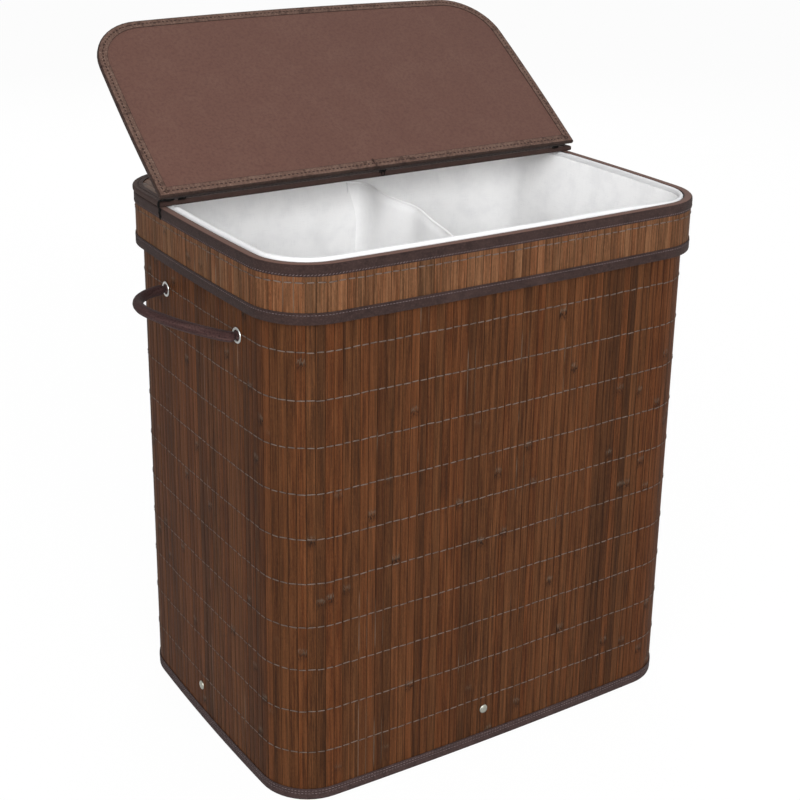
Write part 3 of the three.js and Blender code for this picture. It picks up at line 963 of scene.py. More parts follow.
def wrap(points: Sequence[Vector], section: Section) -> bmesh.types.BMesh:
    """Extrudes a closed line along a section, with mitred corners.

    Args:
        points: The line's corners, anticlockwise, at height 0.
        section: Closed points of [inwards, up].

    Returns:
        The ring, whose fold number is 1 on the raw edges and the outer fold, where the tape's material paints
        shade.
    """
    ways = [(b - a).normalized() for a, b in zip(points, [*points[1:], points[0]])]
    mitres = []
    for before, after in zip([ways[-1], *ways], ways):
        inward = Vector((-before.y - after.y, before.x + after.x, 0)).normalized()
        mitres.append(inward / max(inward.dot(UP.cross(after)), MITRE_LIMITS[1]))
    mesh = stitched("fold")
    fold = mesh.verts.layers.float["fold"]
    width = max(inward for inward, _ in section)
    index = mesh.verts.layers.int.new("index")
    first, level = section[0]
    verts = [mesh.verts.new(point + mitre * first + UP * level) for point, mitre in zip(points, mitres)]
    for i, vert in enumerate(verts):
        vert[index], vert[fold] = i, 1.0
    edges = [mesh.edges.new(pair) for pair in zip(verts, [*verts[1:], verts[0]])]
    for inward, up in [*section[1:], section[0]]:
        made = bmesh.ops.extrude_edge_only(mesh, edges=edges)["geom"]
        fresh = {item for item in made if isinstance(item, bmesh.types.BMVert)}
        edges = [
            item for item in made
            if isinstance(item, bmesh.types.BMEdge) and fresh.issuperset(item.verts)
        ]
        for vert in fresh:
            place = points[vert[index]] + mitres[vert[index]] * inward
            vert.co = (place.x, place.y, up)
            # fold: 1 on the raw edges and the outer fold, for painted shade in the tape's material.
            vert[fold] = float(inward > width - RAW_EDGE or inward < FOLD_WIDTH)
    bmesh.ops.remove_doubles(mesh, verts=mesh.verts, dist=WELD)
    bmesh.ops.recalc_face_normals(mesh, faces=mesh.faces)
    return mesh


def dash(mesh: bmesh.types.BMesh) -> None:
    """A stitch: a small round-ended body along X, half sunk in the cloth."""
    end = mesh.verts.layers.float.new("end")
    bmesh.ops.create_uvsphere(mesh, u_segments=6, v_segments=7, radius=1.0)
    bmesh.ops.rotate(mesh, cent=(0, 0, 0), matrix=Matrix.Rotation(math.pi / 2, 3, "Y"), verts=mesh.verts)
    for vert in mesh.verts:
        vert.co.x = math.copysign(abs(vert.co.x) ** STITCH_BLUNTNESS, vert.co.x) if vert.co.x else 0.0
        # end: nearness to the stitch's ends, where the yarn's material paints shade.
        vert[end] = abs(vert.co.x)


@dataclass
class Stitching:
    """Rows of small stitches."""

    seed: int = 7

    def __post_init__(self) -> None:
        """Makes the stitch's shape."""
        self.shape = template("stitch", dash)
        self.chance = random.Random(self.seed)

    def add(
        self, mesh: bmesh.types.BMesh, places: Iterable[tuple[Vector, Vector, Vector]],
        size: Place, slant: float = 0.0,
    ) -> None:
        """Adds one stitch at each place.

        Args:
            mesh: The mesh that grows.
            places: Each stitch's point, the way along it and the way out of the cloth.
            size: Half its length, half its width and half its height.
            slant: Turn of every stitch from the row, in radians.
        """
        for point, way, out in places:
            wander = self.chance.uniform(-STITCH_WANDER, STITCH_WANDER)
            turn = Matrix.Rotation(slant + wander, 3, out)
            x = (turn @ way).normalized()
            grow = self.chance.uniform(0.88, 1.08)
            place = axes(x * size[0] * grow, out.cross(x) * size[1], out * size[2], point)
            stamp(mesh, self.shape, place)

    def ring(
        self, mesh: bmesh.types.BMesh, line: Sequence[Vector], level: float, pitch: float,
        size: Place, slant: float = 0.0,
    ) -> None:
        """Adds a level row of stitches round an upright face.

        Args:
            mesh: The mesh that grows.
            line: The face's plan, anticlockwise, at height 0.
            level: The row's level.
            pitch: Distance from stitch to stitch.
            size: Half a stitch's length, half its width and half its height.
            slant: Turn of every stitch from the row, in radians.
        """
        row = resample(line, pitch, True)
        places = [(point + UP * level, way, way.cross(UP)) for point, way in row]
        self.add(mesh, places, size, slant)


def stitched(*names: str) -> bmesh.types.BMesh:
    """An empty mesh whose vertices carry numbers of these names."""
    mesh = bmesh.new()
    for name in names:
        mesh.verts.layers.float.new(name)
    return mesh


@dataclass
class SubAssembly:
    """What every sub-assembly is built with."""

    outline: Outline
    stitching: Stitching
    bench: Bench


# --- The mats ---------------------------------------------------------------------------------


def slat_shape(mesh: bmesh.types.BMesh) -> None:
    """A slat: its face is towards -Y, with eased long edges, and its length runs along Z."""
    layers = [mesh.verts.layers.float.new(name) for name in NUMBERS]
    bmesh.ops.create_cube(mesh, size=1.0)
    outer = [
        edge for edge in mesh.edges
        if all(vert.co.y < 0 for vert in edge.verts)
        and abs(edge.verts[0].co.x - edge.verts[1].co.x) < 0.5
    ]
    bmesh.ops.bevel(
        mesh, geom=outer, offset=SLAT_BEVEL, affect="EDGES", segments=2, profile=0.5, material=-1
    )
    geom = [*mesh.verts, *mesh.edges, *mesh.faces]
    bmesh.ops.bisect_plane(mesh, geom=geom, plane_co=(0, 0, 0), plane_no=(1, 0, 0))
    for vert in mesh.verts:
        vert[layers[0]], vert[layers[1]] = vert.co.x * 2, vert.co.z
        if vert.co.y < -0.45 and abs(vert.co.x) < 0.01:
            vert.co.y -= SLAT_CROWN


@dataclass
class Mat:
    """Bamboo slats held side by side by rows of thread."""

    outline: Outline
    stitching: Stitching
    seed: int
    gap: float = 0.28 * MM
    unevenness: float = 0.12 * MM
    thread: Place = (4.75 * MM, 0.68 * MM, 0.36 * MM)
    thread_drift: float = 0.35

    def __post_init__(self) -> None:
        """Makes the slat's shape."""
        self.shape = template("slat", slat_shape)
        self.chance = random.Random(self.seed)

    def slat(
        self, mesh: bmesh.types.BMesh, x: Vector, y: Vector, z: Vector, centre: Vector, start: float
    ) -> None:
        """Adds one slat.

        Args:
            mesh: The mesh that grows.
            x: Its full width.
            y: Its full thickness, from its face inwards.
            z: Its full length.
            centre: Its middle.
            start: Distance along the grain where it begins.
        """
        count = len(self.shape.vertices)
        numbers = {name: [self.chance.random()] * count for name in ("tone", "hue", "mark")}
        numbers["along"] = [start + (vert.co.z + 0.5) * z.length for vert in self.shape.vertices]
        stamp(mesh, self.shape, axes(x, y, z, centre), **numbers)

    def upright(self, outer: float, thickness: float, low: float, high: float) -> bmesh.types.BMesh:
        """Slats that stand round the outline.

        Args:
            outer: The faces' distance outwards from the wall's slats.
            thickness: Thickness of a slat.
            low: Level of their lower ends.
            high: Level of their upper ends.

        Returns:
            The mat.
        """
        mesh = stitched(*NUMBERS)
        for arc, first, last in self.outline.slats():
            ends = [arc.at(share, outer)[0] for share in (first, last)]
            _, normal = arc.at((first + last) / 2, 0)
            width = (ends[1] - ends[0]).length - self.gap
            sink = self.chance.uniform(0, self.unevenness)
            centre = (ends[0] + ends[1]) / 2 - normal * (thickness / 2 + sink) + UP * ((low + high) / 2)
            way = (ends[1] - ends[0]).normalized()
            self.slat(mesh, way * width, -normal * thickness, UP * (high - low), centre, low)
        return mesh

    def rows(self, outer: float, levels: Sequence[float]) -> bmesh.types.BMesh:
        """The threads that show on the slats' faces, one length on each slat.

        Args:
            outer: The faces' distance outwards from the wall's slats.
            levels: The rows' levels.

        Returns:
            The threads.
        """
        mesh = stitched("end")
        places = []
        for level in levels:
            for arc, first, last in self.outline.slats():
                point, normal = arc.at((first + last) / 2, outer)
                drift = self.stitching.chance.uniform(-self.thread_drift, self.thread_drift) * MM
                places.append((point + UP * (level + drift), UP.cross(normal), normal))
        self.stitching.add(mesh, places, self.thread)
        return mesh


# --- Wall -------------------------------------------------------------------------------------


@dataclass
class Wall(SubAssembly):
    """The wall's mat with its taped foot and rim, the base and the rivets."""

    slat_thickness: float = 2.2 * MM
    tape: float = 0.6 * MM
    foot: float = 0.9 * MM
    top: float = 571.2 * MM
    first_row: float = 57 * MM
    row_pitch: float = 48.5 * MM
    row_count: int = 10
    tape_outer: float = 0.9 * MM
    stitch_levels: tuple[float, ...] = (7.6 * MM, 10.6 * MM)
    stitch_pitch: float = 3.6 * MM
    stitch: Place = (1.4 * MM, 0.42 * MM, 0.3 * MM)
    foot_path: Section = (
        (-4.7, 9), (-4.7, 1.2), (-4.5, 0.6), (-4.0, 0.3), (-0.1, 0.3), (0.35, 0.5), (0.6, 1.1),
        (0.62, 6.8), (0.42, 7.6), (0.62, 8.4), (0.6, 9.8), (0.42, 10.6), (0.62, 11.4), (0.6, 13),
    )
    rivet_level: float = 42 * MM
    rivet_faces: int = 28
    rivet_places: tuple[tuple[str, float], ...] = (
        ("front", -17 * MM), ("right", 0), ("back", 0), ("left", -15 * MM)
    )
    rivet_head: Section = ((0.3, 0.0), (0.3, 5.0), (0.75, 4.9), (1.35, 4.1), (1.85, 2.6), (2.1, 0.0))
    rivet_cap: Section = ((-6.7, 0.0), (-6.7, 5.0), (-7.2, 5.0), (-7.9, 3.6), (-7.9, 0.0))
    rivet_shank: Section = ((0.3, 0.0), (0.3, 2.0), (-6.7, 2.0), (-6.7, 0.0))

    def build(self) -> None:
        """Builds the wall's pieces and dresses its nodes."""
        mat = Mat(self.outline, self.stitching, 11)
        slats = mat.upright(0, self.slat_thickness, self.foot, self.top)
        self.bench.piece("slats_of_wall", slats, "bamboo", Body.HAMPER, "wall_slats")
        levels = [self.first_row + k * self.row_pitch for k in range(self.row_count)]
        rows = mat.rows(THREAD_LIFT, levels)
        self.bench.piece("threads_of_wall", rows, "weft", Body.HAMPER)
        self.build_foot()
        self.build_rivets()
        tabs = [f"base_tab_{side}" for side in self.outline.side]
        self.bench.dress("tape", "wall_rim_tape")
        self.bench.dress("backing", "wall_backing", *tabs)
        self.bench.dress("board", "base_board")
        self.bench.dress("wire", "wall_rim_wire")

    def build_foot(self) -> None:
        """Folds the foot's tape under the wall and stitches it with two rows."""
        tape = self.outline.sweep(thicken(in_mm(self.foot_path), self.tape), RING_STEP)
        self.bench.piece("folded_foot_tape", tape, "foot_tape", Body.HAMPER, "wall_foot_tape")
        mesh = stitched("end")
        line = self.outline.round(self.tape_outer, LINE_STEP)
        for level in self.stitch_levels:
            self.stitching.ring(mesh, line, level, self.stitch_pitch, self.stitch)
        self.bench.piece("stitches_of_foot", mesh, "stitches", Body.HAMPER)

    def build_rivets(self) -> None:
        """Turns the four rivets: a domed head on the slats and a cap inside."""
        for side, along in self.rivet_places:
            mesh = bmesh.new()
            for section in (self.rivet_head, self.rivet_cap, self.rivet_shank):
                lathe(mesh, in_mm(section), self.rivet_faces)
            seat_on_wall(mesh, self.outline.side[side], along, self.rivet_level)
            name = f"rivet_{side}"
            self.bench.piece(f"turned_{name}", mesh, "darker_nickel", Body.HAMPER, name)


def lathe(mesh: bmesh.types.BMesh, section: Section, count: int, closed: bool = False) -> None:
    """Spins a section about the X axis.

    Args:
        mesh: The mesh that grows.
        section: Points of [along X, radius].
        count: Faces in a full turn.
        closed: Whether the section closes on itself.
    """
    verts = [mesh.verts.new((x, radius, 0)) for x, radius in section]
    pairs = list(zip(verts, verts[1:])) + ([(verts[-1], verts[0])] if closed else [])
    edges = [mesh.edges.new(pair) for pair in pairs]
    bmesh.ops.spin(
        mesh, geom=verts + edges, cent=(0, 0, 0), axis=(1, 0, 0), angle=2 * math.pi,
        steps=count, use_merge=True, use_duplicate=False,
    )
    bmesh.ops.remove_doubles(mesh, verts=mesh.verts, dist=WELD)
    bmesh.ops.recalc_face_normals(mesh, faces=mesh.faces)


def seat_on_wall(mesh: bmesh.types.BMesh, arc: Arc, along: float, level: float) -> None:
    """Moves a piece that was turned about X to the slats' faces on one side of the wall.

    Args:
        mesh: The piece.
        arc: The side.
        along: Distance from the side's middle.
        level: Height.
    """
    point, normal = arc.at(0.5 + along / arc.length, 0)
    place = axes(normal, UP.cross(normal), UP, point + UP * level)
    bmesh.ops.transform(mesh, matrix=place, verts=mesh.verts)


# --- Handles ----------------------------------------------------------------------------------


@dataclass
class Handles(SubAssembly):
    """Two rope loops, their eyelets and washers, and the knots inside the wall."""

    level: float = 490 * MM
    spacing: float = 165 * MM
    middle: float = -7 * MM
    radius: float = 5.5 * MM
    start: float = 7.4 * MM
    reach: float = 48.5 * MM
    sides: int = 16
    eyelet: Section = (
        (-5.3, 5.8), (-5.3, 6.4), (0.3, 6.4), (0.3, 8.0), (0.6, 8.25), (1.05, 8.1), (1.4, 7.5),
        (1.5, 6.9), (1.35, 6.2), (0.85, 5.8),
    )
    washer: Section = ((-5.3, 6.7), (-5.3, 9.0), (-4.6, 9.2), (-4.4, 8.8), (-4.4, 6.7))
    knot: Section = (
        (2.4, 0.0), (2.3, 3.0), (1.7, 4.7), (0.9, 5.3), (-5.2, 5.2), (-5.6, 7.4), (-6.4, 8.7),
        (-8.0, 9.0), (-9.8, 8.0), (-10.9, 5.6), (-11.2, 3.0), (-11.2, 0.0),
    )
    knot_neck: float = -5.4 * MM
    knot_twist: float = 0.1
    route: Sequence[tuple[float, float]] = (
        (0, 0), (0.11, 0.009), (0.305, 0.027), (0.549, 0.061), (0.768, 0.115), (0.927, 0.188),
        (1, 0.279), (0.976, 0.382), (0.89, 0.485), (0.78, 0.588), (0.646, 0.685), (0.476, 0.788),
        (0.293, 0.885), (0.134, 0.958), (0.049, 0.991), (0, 1),
    )

    def eyelet_place(self, side: str, end: str) -> tuple[Arc, float]:
        """The side of the wall and the distance along it where an eyelet sits."""
        sign, half = -1 if side == "left" else 1, 0.5 if end == "back" else -0.5
        return self.outline.side[side], sign * (self.middle + half * self.spacing)

    def path(self, side: str) -> list[Vector]:
        """The line of a rope, from its back eyelet to its front one.

        Args:
            side: left or right.

        Returns:
            Points close together.
        """
        ends = []
        for end in ("back", "front"):
            arc, along = self.eyelet_place(side, end)
            point, _ = arc.at(0.5 + along / arc.length, 0)
            ends.append(point + UP * self.level)
        points = []
        for out, along in self.route:
            point = ends[0].lerp(ends[1], along)
            point.x += math.copysign(self.start + (self.reach - self.start) * out, point.x)
            points.append(point)
        return flow(points, 6)

    def build(self) -> None:
        """Builds both ropes, then what holds them."""
        for side, body in (("left", Body.HANDLE_LEFT), ("right", Body.HANDLE_RIGHT)):
            self.build_rope(side, body)
            for end in ("front", "back"):
                self.build_eyelet(side, end)

    def build_rope(self, side: str, body: Body) -> None:
        """Args:
            side: left or right.
            body: The body that it rides on.
        """
        path = self.path(side)
        mesh = tube(path, self.radius, self.sides)
        node = f"handle_rope_{side}"
        rope = self.bench.piece(f"covered_{node}", mesh, "rope", body, node)
        length = sum((b - a).length for a, b in zip(path, path[1:]))
        tuple(path[0])
        2 * self.radius
        [tuple(point) for point in path]
        LOG.info("%s is %.3f m long", node, length)

    def build_eyelet(self, side: str, end: str) -> None:
        """Turns an eyelet, its washer and the rope's knot behind them.

        Args:
            side: left or right.
            end: front or back.
        """
        arc, along = self.eyelet_place(side, end)
        for kind, section, closed, finish, count in (
            ("eyelet", self.eyelet, True, "nickel", 36),
            ("eyelet_washer", self.washer, True, "nickel", 32),
            ("rope_knot", self.knot, False, "rope", 24),
        ):
            mesh = bmesh.new()
            lathe(mesh, in_mm(section), count, closed)
            if kind == "rope_knot":
                self.tie(mesh)
            seat_on_wall(mesh, arc, along, self.level)
            node = f"{kind}_{side}_{end}"
            self.bench.piece(f"turned_{node}", mesh, finish, Body.HAMPER, node)

    def tie(self, mesh: bmesh.types.BMesh) -> None:
        """Gives the knot the twist of its two strands, and a UV map along and round it.

        Args:
            mesh: The knot, about the X axis.
        """
        for vert in mesh.verts:
            angle = math.atan2(vert.co.z, vert.co.y)
            if vert.co.x < self.knot_neck:
                press = 0.94 + self.knot_twist * math.sin(2 * angle + vert.co.x / MM * 0.9)
                vert.co.y, vert.co.z = vert.co.y * press, vert.co.z * press
        uv = mesh.loops.layers.uv.new("Cloth")
        for face in mesh.faces:
            first = face.calc_center_median()
            about = math.atan2(first.z, first.y)
            for loop in face.loops:
                turn = math.atan2(loop.vert.co.z, loop.vert.co.y) - about
                turn = (turn + math.pi) % (2 * math.pi) - math.pi
                loop[uv].uv = (loop.vert.co.x, (about + turn) * self.radius)


def flow(points: Sequence[Vector], steps: int) -> list[Vector]:
    """A centripetal Catmull-Rom line through points.

    Args:
        points: The points.
        steps: Steps between one point and the next.

    Returns:
        Points close together, the given ones among them.
    """
    line = [points[0] * 2 - points[1], *points, points[-1] * 2 - points[-2]]
    found = []
    for a, b, c, d in zip(line, line[1:], line[2:], line[3:]):
        spans = ((a, b), (b, c), (c, d))
        t = [0.0]
        for first, second in spans:
            t.append(t[-1] + math.sqrt(max((second - first).length, 1e-9)))
        for i in range(steps):
            s = t[1] + (t[2] - t[1]) * i / steps
            near = [p.lerp(q, (s - t[j]) / (t[j + 1] - t[j])) for j, (p, q) in enumerate(spans)]
            mid = [near[j].lerp(near[j + 1], (s - t[j]) / (t[j + 2] - t[j])) for j in range(2)]
            found.append(mid[0].lerp(mid[1], (s - t[1]) / (t[2] - t[1])))
    return [*found, points[-1].copy()]


def tube(path: Sequence[Vector], radius: float, sides: int) -> bmesh.types.BMesh:
    """A round tube with round ends along a line, whose frame never twists.

    Args:
        path: The line's points.
        radius: Radius of the tube.
        sides: Faces round it.

    Returns:
        The tube, with the UV map Cloth: along it and round it, in metres.
    """
    mesh = bmesh.new()
    uv = mesh.loops.layers.uv.new("Cloth")
    last = len(path) - 1
    ways = [(path[min(i + 1, last)] - path[max(i - 1, 0)]).normalized() for i in range(len(path))]
    side = ways[0].orthogonal().normalized()
    rings, run = [], 0.0
    for i, (point, way) in enumerate(zip(path, ways)):
        side = (side - way * side.dot(way)).normalized()
        run += (point - path[i - 1]).length if i else 0.0
        stops = [(0.0, 1.0)]
        if i in (0, last):
            caps = [(math.sin(a) * radius, math.cos(a)) for a in CAP_ANGLES]
            stops = [(-d, r) for d, r in reversed(caps)] + stops if i == 0 else stops + caps
        for shift, share in stops:
            ring = []
            for k in range(sides):
                turn = 2 * math.pi * k / sides
                spoke = side * math.cos(turn) + way.cross(side) * math.sin(turn)
                ring.append(mesh.verts.new(point + way * shift + spoke * radius * share))
            rings.append((run + shift, ring))
    for (low, lower), (high, upper) in zip(rings, rings[1:]):
        for k in range(sides):
            face = mesh.faces.new((lower[k], lower[(k + 1) % sides], upper[(k + 1) % sides], upper[k]))
            marks = ((low, k), (low, k + 1), (high, k + 1), (high, k))
            for loop, (along, turn) in zip(face.loops, marks):
                loop[uv].uv = (along, 2 * math.pi * radius * turn / sides)
    for _, ring in (rings[0], rings[-1]):
        bmesh.ops.contextual_create(mesh, geom=ring)
    bmesh.ops.recalc_face_normals(mesh, faces=mesh.faces)
    return mesh


def bundle(lines: Iterable[Sequence[Vector]], radius: float) -> bmesh.types.BMesh:
    """Threads along several lines, in one mesh.

    Args:
        lines: The lines.
        radius: Radius of a thread.

    Returns:
        The threads.
    """
    mesh = bmesh.new()
    for line in lines:
        strand = settle("strand", tube(line, radius, STRAND_SIDES))
        mesh.from_mesh(strand)
        bpy.data.meshes.remove(strand)
    return mesh


def thicken_cloth(piece: bpy.types.Object, thickness: float) -> None:
    """Gives a sheet of cloth its thickness, half to each side."""
    walls = piece.modifiers.new("cloth", "SOLIDIFY")
    walls.thickness, walls.offset = thickness, 0.0


# --- Liner ------------------------------------------------------------------------------------


@dataclass
class Liner(SubAssembly):
    """The cloth bag, its cuff over the rim and the divider that makes the two bins."""

    cloth: float = 0.8 * MM
    bag_step: float = 9 * MM
    cuff_top: float = 576.7 * MM
    cuff_drop: float = 32 * MM
    cuff_outer: float = 2.0 * MM
    throat: float = -5.3 * MM
    straight: float = 554.7 * MM
    slope: float = 502.7 * MM
    inset: float = -12.2 * MM
    bottom: float = 7.2 * MM
    roll_centre: float = -5.0 * MM
    roll_level: float = 581.5 * MM
    roll_radius: float = 3.0 * MM
    strip_edge: float = 58 * MM
    strip_under: float = 581.9 * MM
    strip_fade: float = 8 * MM
    roll_foot: float = 0.3 * MM
    roll_side: float = 130 * MM
    roll_fade: float = 90 * MM
    roll_slack: float = 2.8 * MM
    roll_narrowing: float = 0.32
    roll_puff: float = 0.35 * MM
    roll_room: float = 1 * MM
    crease_start: float = 12 * MM
    crease_fade: float = 70 * MM
    fold_depth: float = 2.2 * MM
    hollow_depth: float = 2.6 * MM
    ridge_lean: float = 0.22
    ridge_fall: float = 0.34
    ridges: tuple[Place, ...] = ((-20 * MM, 4 * MM, 34 * MM), (106 * MM, 9 * MM, 42 * MM))
    seam_x: tuple[float, float] = (20 * MM, -60 * MM)
    seam_radius: float = 0.5 * MM
    piping_radius: float = 1.3 * MM
    pleat_depth: float = 2.2 * MM
    wave_depth: float = 4 * MM
    free_edge: float = 0.12
    slack: float = 1.02
    sheet_size: tuple[float, float] = (370 * MM, 550 * MM)
    columns: int = 60
    rows: int = 44
    hem_span: float = 342 * MM
    hem: tuple[Place, ...] = (
        (20, 171, 549), (35, 165, 548), (40, 151, 546.5), (38, 124, 545), (39.5, 90, 544),
        (39, 56, 544.5), (29, 19, 545.5), (16, -20, 547.5), (3, -52, 551), (-27, -110, 562),
        (-60, -171, 576),
    )

    def build(self) -> None:
        """Builds the bag, the roll of its cuff and the divider."""
        self.build_bag()
        self.build_roll()
        self.build_divider()

    def inner(self, level: float) -> float:
        """The bag's inner face at a level, outwards from the wall's slats."""
        share = smooth((level - self.slope) / (self.straight + 14 * MM - self.slope))
        return self.inset + (self.throat - self.inset) * share - self.cloth

    def build_bag(self) -> None:
        """Sweeps the bag with its cuff, closes its floor and lets the cloth crease inwards."""
        top, face, wall = self.cuff_top, self.cuff_outer - self.cloth / 2, self.inner(0.0)
        section = [
            (face, top - self.cuff_drop), (face, top - 6 * MM), (face - 0.2 * MM, top - 0.6 * MM),
            (0.0, top), (self.throat + 1 * MM, top), (self.inner(1.0), top - 1 * MM),
        ]
        levels = [self.straight + 8 * MM, self.straight]
        levels += [self.straight + (self.slope - self.straight) * k / 5 for k in range(1, 6)]
        levels += [self.slope + (self.bottom + 4 * MM - self.slope) * k / 26 for k in range(1, 27)]
        section += [(self.inner(level), level) for level in levels]
        for inset, rise in in_mm(((1.2, 1.2), (4, 0.4), (16, 0.4), (30, 0.4))):
            section.append((wall - inset, self.bottom + rise))
        mesh = self.outline.sweep(section, self.bag_step, closed=False)
        low = self.bottom + 1 * MM
        rim = [e for e in mesh.edges if e.is_boundary and all(vert.co.z < low for vert in e.verts)]
        bmesh.ops.contextual_create(mesh, geom=rim)
        for vert in mesh.verts:
            self.crease(vert)
        nodes = "liner_bag", "liner_floor"
        thicken_cloth(self.bench.piece("sewn_liner_bag", mesh, "calico", Body.HAMPER, *nodes), self.cloth)

    def crease(self, vert: bmesh.types.BMVert) -> None:
        """Moves a point of the bag inwards along soft upright folds and shallow hollows.

        Args:
            vert: The point.
        """
        run, out = self.outline.measure(vert.co)
        start = self.straight + self.crease_start
        if not self.bottom + 3 * MM <= vert.co.z <= start or out > self.throat:
            return
        depth = smooth((start - vert.co.z) / self.crease_fade)
        fold = noise.noise(Vector((run / 0.055, vert.co.z / 0.32, 1.7)))
        hollow = noise.noise(Vector((run / 0.13, vert.co.z / 0.16, 5.1)))
        inward = self.fold_depth * max(fold + 0.25, 0.0) + self.hollow_depth * max(hollow + 0.2, 0.0)
        for x, height, width in self.ridges if vert.co.y > 0 else ():
            lean = vert.co.x - x + (self.straight - vert.co.z) * self.ridge_lean
            inward += height * math.exp(-((lean / (width if lean < 0 else width * self.ridge_fall)) ** 2))
        middle = UP * vert.co.z
        vert.co += (middle - vert.co).normalized() * inward * depth

    def build_roll(self) -> None:
        """Sweeps the roll that stands inside the lid's taped edge, flat under the rear strip."""
        radius, centre, base = self.roll_radius, self.roll_centre, self.cuff_top + self.roll_foot
        section = [(centre + radius, base)]
        for angle in (math.pi * k / 10 for k in range(11)):
            section.append((centre + radius * math.cos(angle), self.roll_level + radius * math.sin(angle)))
        section.append((centre - radius, base))
        mesh = self.outline.sweep(section, RING_STEP)
        for vert in mesh.verts:
            self.settle_roll(vert)
        roll = self.bench.piece("rolled_liner_cuff", mesh, "cuff", Body.HAMPER)
        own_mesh(roll)

    def settle_roll(self, vert: bmesh.types.BMVert) -> None:
        """Puffs a point of the roll up, slackens it on the right and presses it under the strip.

        Args:
            vert: The point.
        """
        top = self.roll_level + self.roll_radius
        run, out = self.outline.measure(vert.co)
        lift = (vert.co.z - self.cuff_top) / (top - self.cuff_top)
        vert.co.z += noise.noise(Vector((run / 0.035, 0.3, 2.2))) * self.roll_puff * lift
        side = smooth((vert.co.x - self.roll_side) / self.roll_fade)
        flat = smooth((vert.co.y - self.strip_edge) / self.strip_fade + 1)
        away = (UP * vert.co.z - vert.co).normalized()
        inward = self.roll_centre + self.roll_radius - out
        vert.co -= away * inward * self.roll_narrowing * side
        free, slack = top + self.roll_room, side * self.roll_slack
        limit = free - slack + (self.strip_under - free + slack) * flat
        if vert.co.z > self.cuff_top:
            room = (limit - self.cuff_top) / (free - self.cuff_top)
            vert.co.z = self.cuff_top + (vert.co.z - self.cuff_top) * room

    def divider_point(self, along: float, up: float) -> Vector:
        """A point of the divider.

        Args:
            along: Share of the way from the back wall to the front one.
            up: Share of its height.

        Returns:
            The point.
        """
        place = min(along, 0.99999) * (len(self.hem_line) - 1)
        hem = self.hem_line[int(place)].lerp(self.hem_line[int(place) + 1], place % 1)
        low = self.bottom + 1.5 * MM
        z = low + (hem.z - low) * up
        share = 0.5 - hem.y / self.hem_span
        y = (self.outline.depth / 2 + self.inner(z)) * (1 - 2 * share)
        seam = self.seam_x[0] + (self.seam_x[1] - self.seam_x[0]) * share
        pleat = math.sin(share * 19.0 + 0.6) * self.pleat_depth
        pleat += noise.noise(Vector((share * 6, up * 2.5, 0.4))) * self.wave_depth
        free = min(share, 1 - share, self.free_edge) / self.free_edge
        return Vector((seam + (hem.x - seam) * up**1.7 + pleat * (1 - up * 0.7) * free, y, z))

    def build_divider(self) -> None:
        """Hangs the divider between the bag's back and front, with a piped hem."""
        self.hem_line = flow([Vector(point) * MM for point in self.hem], 8)
        mesh = bmesh.new()
        uv = mesh.loops.layers.uv.new("Cloth")
        bmesh.ops.create_grid(mesh, x_segments=self.columns, y_segments=self.rows, size=0.5)
        for face in mesh.faces:
            for loop in face.loops:
                shares = loop.vert.co.xy + Vector((0.5, 0.5))
                loop[uv].uv = shares * Vector(self.sheet_size)
        for vert in mesh.verts:
            vert.co = self.divider_point(vert.co.x + 0.5, vert.co.y + 0.5)
        area = sum(face.calc_area() for face in mesh.faces)
        height = min(level for _, _, level in self.hem) * MM - self.bottom
        sheet = self.bench.piece("hung_liner_divider", mesh, "divider", Body.HAMPER, "liner_divider")
        thicken_cloth(sheet, self.cloth)
        hem = [self.divider_point(k / 80, 1.0) for k in range(81)]
        back = [self.divider_point(0.004, k / 30) - Vector((0, self.cloth, 0)) for k in range(31)]
        # The seam tube's grey cloth is a painted shadow along the join.
        sewn = [
            self.bench.piece(f"{finish}_of_divider", tube(line, radius, 8), finish, Body.HAMPER)
            for finish, line, radius in (
                ("piping", hem, self.piping_radius), ("seam", back, self.seam_radius)
            )
        ]
        area / height * self.slack
        LOG.info("divider cloth %.3f m2", area)


# --- Lid --------------------------------------------------------------------------------------


